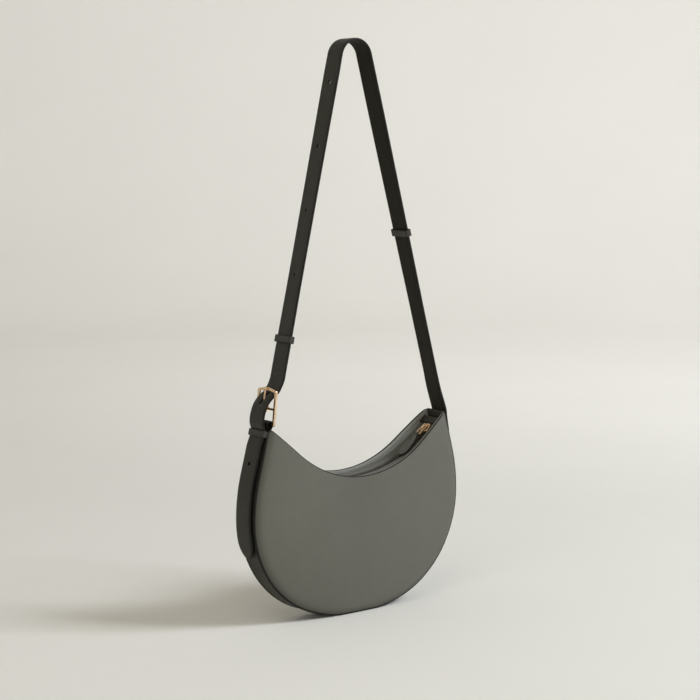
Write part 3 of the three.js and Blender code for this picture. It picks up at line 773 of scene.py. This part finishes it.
GUSSET_LINING_CLEAR, GUSSET_LINING_TOP = 4.75, 167.8
path, scale = along_outline(LINING_INSET, 3.0, belly_face(1, GUSSET_LINING_CLEAR), GUSSET_LINING_TOP)
gusset_lining = swept("gusset_lining_cloth", path, *wide_section(0.55, 0.0), (0, 1, 0), scale=scale)
dress(gusset_lining, "bag", LINING_ALL, "lining", "gusset_lining")

POCKET_HALF, POCKET_FOOT, POCKET_HIGH = 61.6, 42.4, 111.6
POCKET_OUT, POCKET_IN, HEM_THICK, HEM_FOOT, HEM_TOP, HEM_SEAM = 4.72, 5.36, 0.25, 104, 109, 104.6


def pocket_face(x, z):
    """The pocket's inner face, thicker where its top is turned down as a hem."""
    hem = HEM_THICK * np.clip((z - HEM_FOOT) / 3, 0, 1) * (z < HEM_TOP)
    return belly_half(x, z) - POCKET_IN - hem


pocket_low = np.stack([np.linspace(-POCKET_HALF, POCKET_HALF, 50), np.full(50, POCKET_FOOT)], 1)
pocket_high = pocket_low * [1, 0] + [0, POCKET_HIGH]
faces = belly_face(1, POCKET_OUT), pocket_face
pocket = sheet_plate("slip_pocket_cloth", pocket_low, pocket_high, 26, *faces, 0.3, 4)
dress(pocket, "bag", LINING_ALL, "lining", "slip_pocket")
hem = np.stack([np.linspace(-60, 60, 60), np.zeros(60), np.full(60, HEM_SEAM)], 1)
hem[:, 1] = belly_half(hem[:, 0], hem[:, 2]) - 5.5
dress(stitches("pocket_hem_stitches", hem, np.tile([0.0, -1.0, 0.0], (60, 1))), "bag", [THREAD_GREY], None)

for name in ("front_board", "back_board", "base_board"):
    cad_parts[name].data.materials.clear()
    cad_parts[name].data.materials.append(BOARD)


# ------------------------------------------------------------------ zip
def on_zip(degrees, y, rise=0.0):
    """A point of the zip's curved surface, rise mm above its middle."""
    a = np.radians(degrees)
    r = ZIP_RADIUS - rise
    return np.stack(np.broadcast_arrays(r * np.sin(a), y, ZIP_CENTRE_Z - r * np.cos(a)), -1)


def zip_strip(name, start, stop, near, far, thick, rise, rows, columns, sag=0.0):
    """A plate that follows the zip, between near(x, z) and far(x, z) in y."""
    degrees = np.linspace(start, stop, columns + 1)
    edge = on_zip(degrees, 0.0)
    y0, y1 = near(edge[:, 0], edge[:, 2]), far(edge[:, 0], edge[:, 2])
    verts, faces, slots = [], [], []
    for layer in (1, -1):
        for j in range(rows + 1):
            share = j / rows
            drop = sag * math.sin(math.pi * share)
            inner = 0.94 if j in (0, rows) else 1.0
            verts.append(on_zip(degrees, y0 + (y1 - y0) * share, rise - drop + layer * thick / 2 * inner))
    verts = np.concatenate(verts)
    n = columns + 1

    def at(layer, j, i):
        return (layer * (rows + 1) + j) * n + i

    for j in range(rows):
        for i in range(columns):
            faces.append([at(0, j, i), at(0, j, i + 1), at(0, j + 1, i + 1), at(0, j + 1, i)])
            faces.append([at(1, j, i), at(1, j + 1, i), at(1, j + 1, i + 1), at(1, j, i + 1)])
            slots += [0, 0]
    rim = [(j, 0) for j in range(rows + 1)] + [(rows, i) for i in range(1, n)]
    rim += [(j, n - 1) for j in range(rows - 1, -1, -1)]
    rim += [(0, i) for i in range(n - 2, 0, -1)]
    for (j, i), (k, m) in zip(rim, rim[1:] + rim[:1]):
        faces.append([at(0, j, i), at(0, k, m), at(1, k, m), at(1, j, i)])
        slots.append(1)
    return mesh_object(name, verts, faces, slots)


def tooth(degrees, side):
    """One cast tooth: a waisted block with a rounded head."""
    half, root = 0.31, 1.3
    outline = [(2.75, 0.9), (root, 0.9), (0.75, 1.15), (0.1, 1.0), (-0.25, 0.55)]
    outline = [(y, half * a) for y, a in outline]
    verts = []
    ring = outline + [(y, -a) for y, a in reversed(outline)]
    for rise, shrink, narrow in ((1.15, 0.8, 0.93), (0.8, 1.0, 1), (-0.8, 1.0, 1), (-1.15, 0.8, 0.93)):
        for y, a in ring:
            verts.append(on_zip(degrees + a * shrink, side * ((y - root) * narrow + root), rise))
    rings = ring_numbers(0, 4, len(ring))
    return verts, joined_rings(rings) + [rings[0], rings[-1]]


def straight_edge(y):
    """An edge of a zip strip at constant y."""
    return lambda x, z: np.full(len(x), y)


TOOTH_STEP, TEETH_END = 0.86, 43.4
TAPE_END, TAPE_GAP, TAPE_SAG = 45.1, 2.85, 0.25
TAB_NEAR, TAB_FAR = 44.05, 47.1
for word, side in SIDES:
    edges = straight_edge(side * TAPE_GAP), belly_face(side, TAPE_IN)
    name = f"{word}_zip_tape_cloth"
    tape = zip_strip(name, -TAPE_END, TAPE_END, *edges, 0.7, 0.0, 10, 110, TAPE_SAG)
    dress(tape, "bag", [TAPE, TAPE], "zip_tape", f"{word}_zip_tape")
    verts, faces = [], []
    shift = 0.0 if side < 0 else TOOTH_STEP / 2
    for degrees in np.arange(-TEETH_END + shift, TEETH_END, TOOTH_STEP):
        more, sides = tooth(degrees, side)
        faces += [[q + len(verts) for q in f] for f in sides]
        verts += more
    row = crisp(mesh_object(f"{word}_zip_teeth_row", verts, faces), 50)
    dress(row, "bag", [TEETH], "zip_metal", f"{word}_zip_teeth")

for word, ends in (("left", (-TAB_FAR, -TAB_NEAR)), ("right", (TAB_NEAR, TAB_FAR))):
    edges = belly_face(-1, TAPE_IN), belly_face(1, TAPE_IN)
    tab = zip_strip(f"{word}_zip_end_tab_leather", *ends, *edges, 1.5, 2.4, 16, 8)
    dress(tab, "bag", [DARK, EDGE_DARK], "dark_leather", f"{word}_zip_end_tab")

for name in ("front_top_stop", "back_top_stop", "bottom_stop"):
    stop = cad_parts[name]
    stop.data.materials.clear()
    stop.data.materials.append(TEETH)
    rounding = stop.modifiers.new("rounding", "BEVEL")
    rounding.width, rounding.segments, rounding.limit_method = 0.3 * MM, 3, "ANGLE"

SLIDER_ANGLE = 41.6


def soft_section(half, thick, power=0.55, count=16):
    """Section of a metal bar, between a box and an ellipse."""
    t = np.linspace(0, 2 * math.pi, count + 1)[:-1]
    across, out = [np.sign(v) * np.abs(v) ** power for v in (np.cos(t), np.sin(t))]
    return list(zip(half * across, thick * out)), [0] * count


def zip_matrix(degrees):
    """From a drawing with x up the zip, y across it and z off its surface, to its place, in metres."""
    a = math.radians(degrees)
    place = Matrix.Identity(4)
    place.col[0][:3] = (math.cos(a), 0, math.sin(a))
    place.col[1][:3] = (0, 1, 0)
    place.col[2][:3] = (-math.sin(a), 0, math.cos(a))
    place.col[3][:3] = Vector(on_zip(degrees, 0.0)) * MM
    return place


def lifted(place, rise):
    """place, moved rise mm along its own z."""
    return place @ Matrix.Translation((0, 0, rise * MM))


slider_place = zip_matrix(SLIDER_ANGLE)
plate = [(-5.2, 2.9), (-4.3, 3.9), (-1.5, 4.3), (2.0, 4.65), (4.6, 4.5), (5.4, 3.4), (5.5, 1.2)]
plate += [(x, -y) for x, y in reversed(plate)]
plates = [
    flat_shape("slider_top", plate, [], 1.3, 0.4, lifted(slider_place, 2.2)),
    flat_shape("slider_bottom", plate, [], 1.2, 0.4, lifted(slider_place, -2.15)),
]
for side in (-1, 1):
    lip = round_ring(-4.4, 4.8, min(side * 3.95, side * 4.6), max(side * 3.95, side * 4.6), 0.3, 3)
    plates.append(flat_shape("slider_lip", lip, [], 1.1, 0.25, lifted(slider_place, 1.35)))
half_arch = [(-3.7, 2.7), (-3.6, 4.2), (-2.7, 5.5), (-1.2, 6.0)]
arch = standing(resample(half_arch + [(-x, z) for x, z in reversed(half_arch)], 20))
bridge = swept("slider_bridge", arch, *soft_section(1.25, 0.55, 0.6), (0, 1, 0))
bridge.data.transform(slider_place)
slider = crisp(join("zip_slider_body", [*plates, bridge]), 40)
dress(slider, "slider", [GOLD], "gold_metal", "zip_slider")

PULL_SLOPE = math.radians(34.2)
pivot = on_zip(SLIDER_ANGLE, 0.0, 4.1)
pull_place = Matrix.Translation(Vector(pivot) * MM) @ Matrix.Rotation(math.pi - PULL_SLOPE, 4, "Y")
link_outside = round_ring(-0.9, 12.6, -3.9, 3.9, 1.8)
link_inside = round_ring(1.0, 10.8, -2.0, 2.0, 0.9)
link = flat_shape("pull_link_ring", link_outside, [link_inside], 1.5, 0.5, pull_place)
dress(crisp(link, 45), "pull", [GOLD], "gold_metal", "pull_link")

leaf_edge = [(13.2, 2.1), (18, 2.9), (24, 3.9), (30, 4.6), (35, 4.85), (39, 4.5), (42.3, 3.4), (44.6, 1.7)]
leaf_edge = resample(leaf_edge + [(45.5, 0.0)] + [(x, -y) for x, y in reversed(leaf_edge)], 90)
leaf = flat_shape("tab_leaf", [tuple(p) for p in leaf_edge[:-1]], [], 2.0, 0.45, Matrix.Identity(4))
fold_angle = np.radians(np.linspace(25, 335, 25))
fold = standing([11.75, 0.0] + 1.72 * np.stack([np.cos(fold_angle), np.sin(fold_angle)], 1))
fold = swept("tab_fold", fold, *band_section(1.75, 0.9, 0.35), (0, 1, 0))
TAB_TURN, TAB_TWIST = math.radians(-7), math.radians(-20)
FOLD_END, FOLD_REACH = 12.8, 8.0


def hung(point):
    """Where a point of the tab's flat drawing lies once the leaf has swung and twisted below its fold."""
    share = min(max((point[0] - FOLD_END) / FOLD_REACH, 0), 1)
    share *= share * (3 - 2 * share)
    pivot = Matrix.Translation((FOLD_END, 0, 0))
    turned = Matrix.Rotation(TAB_TURN * share, 4, "Z") @ Matrix.Rotation(TAB_TWIST * share, 4, "X")
    return pivot @ turned @ pivot.inverted() @ Vector(point)


tab = join("pull_tab_leather", [leaf, fold])
for face in tab.data.polygons:
    beyond = face.center.x > 13.6 * MM
    face.material_index = int(beyond and abs(face.normal.z) < 0.75)
for v in tab.data.vertices:
    v.co = pull_place @ (hung(v.co / MM) * MM)
dress(crisp(tab, 60), "pull", [TAB, EDGE_DARK], "dark_leather", "pull_tab")
inset_line = [13.5, 0] + (leaf_edge[6:-6] - [13.5, 0]) * [0.93, 0.68]
for layer, word in ((1, "upper"), (-1, "lower")):
    line, above = [
        [pull_place @ (hung((x, y, rise)) * MM) / MM for x, y in inset_line] for rise in (layer, layer * 2)
    ]
    way = [(b - a).normalized() for a, b in zip(line, above)]
    sewn = stitches(f"tab_{word}_stitches", line, way, 1.6, 0.7, 0.2, 0.06)
    dress(sewn, "pull", [THREAD_DARK], None)


# ------------------------------------------------------------------ strap
left_tangent = CROWN_CENTRE + CROWN_RADIUS * np.array([-math.cos(LEFT_LEAN), math.sin(LEFT_LEAN)])
right_tangent = CROWN_CENTRE + CROWN_RADIUS * np.array([math.cos(RIGHT_LEAN), math.sin(RIGHT_LEAN)])


def left_strand(z):
    """The strap's middle at height z on the buckle side."""
    return np.array([left_tangent[0] - (left_tangent[1] - z) * math.tan(LEFT_LEAN), z])


def right_strand(z):
    """The strap's middle at height z on the sewn side."""
    return np.array([right_tangent[0] + (right_tangent[1] - z) * math.tan(RIGHT_LEAN), z])


def left_face(z, out):
    """A point out mm outside the left end of the bag at height z."""
    line = outline_right(-out)
    side = line[line[:, 1] > 20]
    return np.array([-np.interp(z, side[:, 1], side[:, 0]), z])


def through(points, per_span=16):
    """A smooth curve through points."""
    p = np.asarray(points, float)
    p = np.concatenate([p[:1], p, p[-1:]])
    curve = []
    for a, b, c, d in zip(p[:-3], p[1:-2], p[2:-1], p[3:]):
        t = np.linspace(0, 1, per_span, endpoint=False)[:, None]
        square, cube = a - 2.5 * b + 2 * c - 0.5 * d, 1.5 * (b - c) + 0.5 * (d - a)
        curve.append(b + 0.5 * t * (c - a) + t**2 * square + t**3 * cube)
    return np.concatenate([*curve, p[-1:]])


# over the buckle's middle bar and down its outside
BUCKLE_BEND = [(-94.9, 236.2), (-98.8, 230.7), (-105.4, 226.2), (-111.5, 219.5)]
BUCKLE_BEND += [(-115.2, 211.0), (-116.5, 202.0)]
buckle_route = [left_strand(268), left_strand(FLEX_Z), left_strand(243), *np.array(BUCKLE_BEND)]
buckle_route += [left_face(195.3, 2.1), left_face(KEEPER_Z, 1.9), left_face(187.9, 2.1)]
buckle_route += [left_face(z, 3.2) for z in (180, 170, 158, 145, 132, 119, 106, 94, 82, 70)]
crown_angles = np.linspace(math.pi - LEFT_LEAN, RIGHT_LEAN, 40)
crown = CROWN_CENTRE + CROWN_RADIUS * np.stack([np.cos(crown_angles), np.sin(crown_angles)], 1)
sewn_face = [left_face(z, out) * [-1, 1] for z, out in ((196, 3.7), (188, 2.9), (180, 2.1), (172, 1.6))]
sewn_route = [right_strand(268), right_strand(240), right_strand(216), *sewn_face]
route = np.concatenate([through(buckle_route)[::-1], crown, through(sewn_route)])
route = route[np.concatenate([[True], np.linalg.norm(np.diff(route, axis=0), axis=1) > 1e-6])]
strap_run = run_along(route)
STRAP_LENGTH = strap_run[-1]


def strap_s(z, right=False):
    """Distance along the strap from the tail's tip to height z on its left or right side."""
    top = int(np.argmax(route[:, 1]))
    if right:
        return float(np.interp(-z, -route[top:, 1], strap_run[top:]))
    return float(np.interp(z, route[:top, 1], strap_run[:top]))


# How far the strap is turned about its own line, in degrees, at heights where it hangs free.
LEFT_TWIST = [(262, 0.0), (330, -2.2), (430, -1.0), (535, 1.8)]
RIGHT_TWIST = [(560, -2.0), (500, -3.0), (400, 0.0), (300, 4.0), (235, 4.5), (200, 0.5)]
twist = [(0.0, 0.0), *((strap_s(z), turn) for z, turn in LEFT_TWIST)]
twist = np.array([*twist, *((strap_s(z, True), turn) for z, turn in RIGHT_TWIST), (STRAP_LENGTH, 0.0)])
TAIL_TAPER = 21.0


def twist_at(s):
    """The strap's twist at s, in radians."""
    return np.radians(np.interp(s, *twist.T))


def strap_frame(s):
    """Point, across and outward directions of the strap at distances s from the tail's tip."""
    s = np.atleast_1d(np.asarray(s, float))
    reach = 1.5

    def on_route(at):
        return np.stack([np.interp(at, strap_run, route[:, k]) for k in (0, 1)], 1)

    tangent = on_route(s + reach) - on_route(s - reach)
    tangent /= np.linalg.norm(tangent, axis=1, keepdims=True)
    # tangent x Y, so that out is away from the space under the crown
    out = np.stack([-tangent[:, 1], np.zeros(len(s)), tangent[:, 0]], 1)
    side = np.array([[0.0, 1.0, 0.0]])
    cos, sin = np.cos(twist_at(s)[:, None]), np.sin(twist_at(s)[:, None])
    return standing(on_route(s)), cos * side + sin * out, cos * out - sin * side


def strap_width(s):
    """Share of the strap's full width at s: it narrows to a rounded tip at the tail."""
    s = np.asarray(s, float)
    left = np.clip(1 - s / TAIL_TAPER, 0, 1)
    return np.where(s < TAIL_TAPER, (1 - left**2.3) ** 0.55, 1.0)


def on_strap(s, across, out):
    """Points at distances s, so far across the strap and so far out from its middle."""
    centre, side, normal = strap_frame(s)
    return centre + side * np.asarray(across)[..., None] + normal * np.asarray(out)[..., None]


def strap_rows(knots, step):
    """Rows along the strap with one on each knot, closer together at the tail's tip."""
    rows = [0.0, 0.25, 0.7, 1.3, 2.1, 3.1]
    for a, b in zip([rows[-1]] + knots, knots + [STRAP_LENGTH]):
        rows += list(np.linspace(a, b, max(2, int(math.ceil((b - a) / step))) + 1)[1:])
    return np.array(rows)


# Each hole is its middle along the strap and its length between the centres of its round ends.
slot_low, slot_high = strap_s(219.5), strap_s(229.5)
holes = [(strap_s(TAIL_HOLE_Z), 0.0), ((slot_low + slot_high) / 2, slot_high - slot_low - 2 * HOLE_RADIUS)]
holes += [(strap_s(FIRST_HOLE_Z + i * HOLE_PITCH * math.cos(LEFT_LEAN)), 0.0) for i in range(STRAND_HOLES)]
STEP = 1.6
row_s = strap_rows([centre for centre, _ in holes], STEP)
CREASE_AT, CREASE, EDGE_DROP = 9.1, 0.14, 0.1
half, corner, face = STRAP_HALF, 0.7, STRAP_THICK / 2
right_columns = [1.6, 3.2, 5.0, 6.8, 8.7, CREASE_AT, 9.5, half - corner]
columns = [*(-c for c in reversed(right_columns)), 0.0, *right_columns]
face_out = [face - CREASE * (abs(c) == CREASE_AT) - EDGE_DROP * (abs(c) > 10) for c in columns]
side_turn = np.linspace(0, math.pi, 7)[1:-1]
sides = [(half - corner + corner * math.sin(t), (face - EDGE_DROP) * math.cos(t)) for t in side_turn]
section = [*zip(columns, face_out), *sides]
section = np.array(section + [(-c, -o) for c, o in section])
under = len(columns) + len(sides)
m, n = len(section), len(row_s)
verts = []
for s, width in zip(row_s, np.maximum(strap_width(row_s), 0.02)):
    verts += list(on_strap(np.full(m, s), section[:, 0] * width, section[:, 1]))


def hole_rows(centre, length):
    """First and last row of the window in the mesh that a hole is set in."""
    middle = int(np.argmin(abs(row_s - centre)))
    reach = 2 + int(math.ceil(length / 2 / STEP))
    return middle - reach, middle + reach


def column_of(top, c):
    """A column's place in the section, on the strap's outer (top) or inner face."""
    return c if top else under + len(columns) - 1 - c


window_rows = {i for hole in holes for i in range(*hole_rows(*hole))}
hole_left, hole_right = columns.index(-3.2), columns.index(3.2)
faces, slots = [], []
for i in range(n - 1):
    for j in range(m):
        upper = hole_left <= j < hole_right
        lower = column_of(False, hole_right) <= j < column_of(False, hole_left)
        if i in window_rows and (upper or lower):
            continue
        k = (j + 1) % m
        faces.append([i * m + j, (i + 1) * m + j, (i + 1) * m + k, i * m + k])
        inner_face = under <= j < under + len(columns) - 1
        slots.append(0 if j < len(columns) - 1 else 2 if inner_face else 1)
faces += [list(range(m)), list(range((n - 1) * m, n * m))]
slots += [1, 1]
for centre, length in holes:
    low, high = hole_rows(centre, length)
    cells = [(low, c) for c in range(hole_left, hole_right + 1)]
    cells += [(i, hole_right) for i in range(low + 1, high + 1)]
    cells += [(high, c) for c in range(hole_right - 1, hole_left - 1, -1)]
    cells += [(i, hole_left) for i in range(high - 1, low, -1)]
    chain = []
    for top in (True, False):
        rings = [[i * m + column_of(top, c) for i, c in cells]]
        for radius, depth in ((HOLE_RADIUS + 0.25, 0.02), (HOLE_RADIUS, 0.3)):
            rings.append(list(range(len(verts), len(verts) + len(cells))))
            for i, c in cells:
                axis = float(np.clip(row_s[i] - centre, -length / 2, length / 2))
                way = np.array([row_s[i] - centre - axis, columns[c]])
                way *= radius / np.linalg.norm(way)
                out = (face - depth) * (1 if top else -1)
                verts.append(on_strap([centre + axis + way[0]], [way[1]], [out])[0])
        chain += rings if top else rings[::-1]
    faces += joined_rings(chain)
    for slot in (0, 1, 1, 1, 0):
        slots += [slot] * len(cells)
strap = mesh_object("strap_leather", verts, faces, slots)
dress(strap, None, [DARK, EDGE_DARK, DARK_INNER], "dark_leather")
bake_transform(strap)
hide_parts("strap_loop", "strap_buckle_end", "strap_sewn_end")

BOX_TOP_Z, BOX_FOOT_Z, BOX_HALF = 193.5, 174.5, 8.2
top_s, foot_s = strap_s(BOX_TOP_Z, True), strap_s(BOX_FOOT_Z, True)
seam = [(top_s, -BOX_HALF), (foot_s, -BOX_HALF), (foot_s, BOX_HALF), (top_s, BOX_HALF), (top_s, -BOX_HALF)]
seam = resample(seam, step=0.8)
seam_at = on_strap(seam[:, 0], seam[:, 1], np.full(len(seam), STRAP_THICK / 2))
seam_up = strap_frame(seam[:, 0])[2]
dress(stitches("sewn_end_stitches", seam_at, seam_up), "bag", [THREAD_DARK], None)


# ------------------------------------------------------------------ loops, keeper and chape
def ring_path(half_out, half_across, corner):
    """A rounded rectangle's points, evenly spaced, in the XY plane."""
    ring = round_ring(-half_out, half_out, -half_across, half_across, corner, 6)
    ring = resample(ring + [(half_out, half_across - corner)], 96)[:-1]
    return np.pad(ring, ((0, 0), (0, 1)))


LOOP_SECTION = band_section(3.5, 1.3, 0.45, 0.1)
LEFT_LOOP_Z, RIGHT_LOOP_Z = 280.8, 378.6
for word, strand, lean, z in (
    ("left", left_strand, -LEFT_LEAN, LEFT_LOOP_Z),
    ("right", right_strand, RIGHT_LEAN, RIGHT_LOOP_Z),
):
    name = f"{word}_sliding_loop_leather"
    loop = swept(name, ring_path(2.95, 12.05, 1.5), *LOOP_SECTION, (0, 0, 1), closed=True)
    at = strand(z)
    turn = twist_at(strap_s(z, word == "right"))
    place = Matrix.Translation(Vector((at[0], 0, at[1])) * MM) @ Matrix.Rotation(-lean, 4, "Y")
    place @= Matrix.Rotation(turn if word == "left" else -turn, 4, "Z")
    loop.data.transform(place)
    dress(loop, f"{word}_loop", [LOOP, EDGE_DARK], "dark_leather", f"{word}_sliding_loop")

outward = np.array([-math.cos(math.radians(SHOULDER_TURN)), math.sin(math.radians(SHOULDER_TURN))])
upward = (outward[1], 0, -outward[0])
staple = [(-0.1, -12.05), (2.2, -12.05), (3.5, -11.9), (4.1, -11.0), (4.2, -9.0), (4.22, 0.0)]
staple += [(a, -b) for a, b in reversed(staple[:-1])]
staple = resample(through(staple), 70)
foot = left_face(KEEPER_Z, 0.0)
path = np.stack([foot[0] + outward[0] * staple[:, 0], staple[:, 1], foot[1] + outward[1] * staple[:, 0]], 1)
keeper = swept("fixed_keeper_leather", path, *band_section(KEEPER_HEIGHT / 2, 1.3, 0.45, 0.1), upward)
dress(keeper, "bag", [LOOP, EDGE_DARK], "dark_leather", "fixed_keeper")

down = np.array([-5.2, -21.6])
down /= np.linalg.norm(down)
off = np.array([down[1], -down[0]])
bend = np.radians(10 - 200 * np.arange(17) / 16)
CHAPE_LEG = [(22, 0.95), (17, 0.95), (12, 1.0), (8, 1.2), (5, 1.9)]
chape_line = [HEEL + down * a + off * b for a, b in CHAPE_LEG]
chape_line += [HEEL + down * 3.2 * math.sin(a) + off * 3.2 * math.cos(a) for a in bend]
chape_line += [HEEL + down * a - off * b for a, b in reversed(CHAPE_LEG)]
path = standing(resample(through(chape_line, 8), 70))
chape = swept("chape_leather", path, *band_section(8.5, 1.45, 0.5, 0.1, 10), (0, 1, 0))
dress(chape, "bag", [DARK, EDGE_DARK], "dark_leather", "chape")


# ------------------------------------------------------------------ buckle
def bow(start, control, stop, steps=14):
    """Points of a quadratic curve."""
    t = np.linspace(0, 1, steps + 1)[:, None]
    a, c, b = (np.array(p, float) for p in (start, control, stop))
    return [tuple(p) for p in (1 - t) ** 2 * a + 2 * t * (1 - t) * c + t**2 * b]


lean_sin, lean_cos = math.sin(BUCKLE_LEAN), math.cos(BUCKLE_LEAN)
buckle_place = Matrix.Identity(4)
buckle_place.col[0][:3] = (0, 1, 0)
buckle_place.col[1][:3] = (lean_sin, 0, lean_cos)
buckle_place.col[2][:3] = (lean_cos, 0, -lean_sin)
buckle_place.col[3][:3] = Vector((HEEL[0], 0, HEEL[1])) * MM
w, bar, arch_rise, corner = BUCKLE_HALF, BUCKLE_BAR, 1.6, 2.4
low, high = -bar / 2, BUCKLE_HEIGHT + bar / 2
outer = round_ring(-w, w, low, high, corner, 5)
right_top, left_top = [[p for p in outer if s * p[0] > 0 and p[1] > BUCKLE_HEIGHT / 2] for s in (1, -1)]
below = [p for p in outer if p[1] < BUCKLE_HEIGHT / 2]
arched = bow((w - corner, high), (0, high + 2 * arch_rise), (-w + corner, high))[1:-1]
outer = right_top + arched + left_top + below
inner = w - bar
bar_low, bar_high = CENTRE_BAR_UP - 1.2, CENTRE_BAR_UP + 1.2
window_low = round_ring(-inner, inner, bar / 2, bar_low, 0.8, 3)
top = BUCKLE_HEIGHT - bar / 2
window_high = [(-inner, bar_high), (inner, bar_high), (inner, top)]
window_high += bow((inner, top), (0, top + 2 * arch_rise), (-inner, top))[1:]
buckle = flat_shape("buckle_frame_metal", outer, [window_low, window_high], 2.4, 0.75, buckle_place, 3)
dress(crisp(buckle, 50), "bag", [GOLD], "gold_metal", "buckle_frame")


def up_buckle(up, inward):
    """A point of the side view, up the buckle from its heel bar and inward from its plane."""
    return HEEL + [up * lean_sin + inward * lean_cos, up * lean_cos - inward * lean_sin]


eye = up_buckle(CENTRE_BAR_UP, 0)
around = np.linspace(0, 2 * math.pi, 33)[:-1]
ring = standing(eye + 2.5 * np.stack([np.cos(around), np.sin(around)], 1))
eye_ring = swept("prong_eye", ring, *soft_section(1.4, 0.6), (0, 1, 0), closed=True)
PIN_LINE = [(17.4, -2.0), (20, -2.9), (25, -3.2), (31, -2.9), (36.6, -2.6)]
pin = standing(through([up_buckle(*p) for p in PIN_LINE], 8))
taper = np.interp(np.linspace(0, 1, len(pin)), [0, 0.15, 0.8, 0.95, 1], [1.0, 1.05, 0.9, 0.75, 0.35])
pin = swept("prong_pin", pin, *soft_section(1.1, 0.95, 0.8), (0, 1, 0), scale=np.stack([taper, taper], 1))
prong = join("buckle_prong_metal", [eye_ring, pin])
dress(crisp(prong, 60), "prong", [GOLD], "gold_metal", "buckle_prong")


# ------------------------------------------------------------------ stage, lights and camera
def lathe(name, profile, steps=96):
    """Surface of revolution about Z from (radius, height) points, in metres."""
    mesh = bpy.data.meshes.new(name)
    turns = [2 * math.pi * k / steps for k in range(steps)]
    verts = [(r * math.cos(a), r * math.sin(a), z) for r, z in profile for a in turns]
    mesh.from_pydata(verts, [], joined_rings(ring_numbers(0, len(profile), steps)))
    mesh.polygons.foreach_set("use_smooth", [True] * len(mesh.polygons))
    return placed(name, mesh)


def paper(name, light, dark):
    """Matt backdrop paper with faint fibres."""
    n = Nodes(name, Specular_IOR_Level=0.15)
    tone = n.noise(3.0, 3.0)
    colour = n.mix(n.span(tone, 0.3, 0.7, 0.0, 1.0), dark, light)
    fibre = n.noise(900.0, 2.0)
    return n.finish(colour, n.span(fibre, 0.3, 0.7, 0.86, 0.94), fibre, 0.00003, 0.3)


FLOOR_REACH, COVE_RADIUS, WALL_TOP = 2.6, 1.2, 4.0
cove = [(0.001, 0.0), (0.5, 0.0), (1.2, 0.0), (FLOOR_REACH, 0.0)]
for a in np.radians(np.linspace(6, 90, 15)):
    cove.append((FLOOR_REACH + COVE_RADIUS * math.sin(a), COVE_RADIUS * (1 - math.cos(a))))
cove += [(FLOOR_REACH + COVE_RADIUS, 2.0), (FLOOR_REACH + COVE_RADIUS, WALL_TOP)]
backdrop = lathe("studio_cove", cove)
backdrop.data.materials.append(paper("pale_paper", rgb(237, 236, 233), rgb(235, 234, 231)))
backdrop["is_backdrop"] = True

CAMERA_AZIMUTH = math.radians(-38.675)
CAMERA_PITCH = math.radians(6.835)
CAMERA_PLACE, SENSOR_WIDTH, LENS = (-1.1741, -1.4646, 0.4890), 36.0, 97.7
camera_data = bpy.data.cameras.new("camera")
camera_data.sensor_width, camera_data.lens = SENSOR_WIDTH, LENS
camera_data.clip_start, camera_data.clip_end = 0.05, 30.0
camera = placed("camera", camera_data)
camera.location = CAMERA_PLACE
camera.rotation_euler = (math.pi / 2 - CAMERA_PITCH, 0.0, CAMERA_AZIMUTH)
scene.camera = camera

right_hand = Vector((math.cos(CAMERA_AZIMUTH), math.sin(CAMERA_AZIMUTH), 0))
towards = Vector((math.sin(CAMERA_AZIMUTH), -math.cos(CAMERA_AZIMUTH), 0))
BAG_MIDDLE = Vector((0, 0, 0.15))


def area_light(name, right, near, up, size, power, colour, aim=BAG_MIDDLE):
    """A square soft light, placed by metres to the camera's right, towards the camera and up."""
    data = bpy.data.lights.new(name, "AREA")
    data.shape, data.size = "SQUARE", size
    data.energy, data.color = power, colour
    lamp = placed(name, data)
    lamp.location = right_hand * right + towards * near + Vector((0, 0, up))
    lamp.rotation_euler = (aim - lamp.location).to_track_quat("-Z", "Y").to_euler()
    return lamp


area_light("key", 2.6, 0.45, 2.2, 1.15, 73.0, (0.9, 0.95, 1.0))
area_light("fill", -0.6, 1.9, 2.5, 1.6, 11.0, (1.0, 0.93, 0.78))
backdrop_aim = right_hand * 0.7 - towards * 3.6 + Vector((0, 0, 0.3))
wash = area_light("wall_wash", 0.9, -0.6, 2.2, 1.4, 12.5, (1.0, 1.0, 1.0), backdrop_aim)
wash.data.spread = math.radians(110)
world = bpy.data.worlds.new("studio")
world.use_nodes = True
sky = world.node_tree.nodes["Background"]
sky.inputs["Color"].default_value = (1.0, 0.92, 0.76, 1.0)
sky.inputs["Strength"].default_value = 0.335
scene.world = world
scene.view_settings.view_transform = "Standard"

low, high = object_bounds()
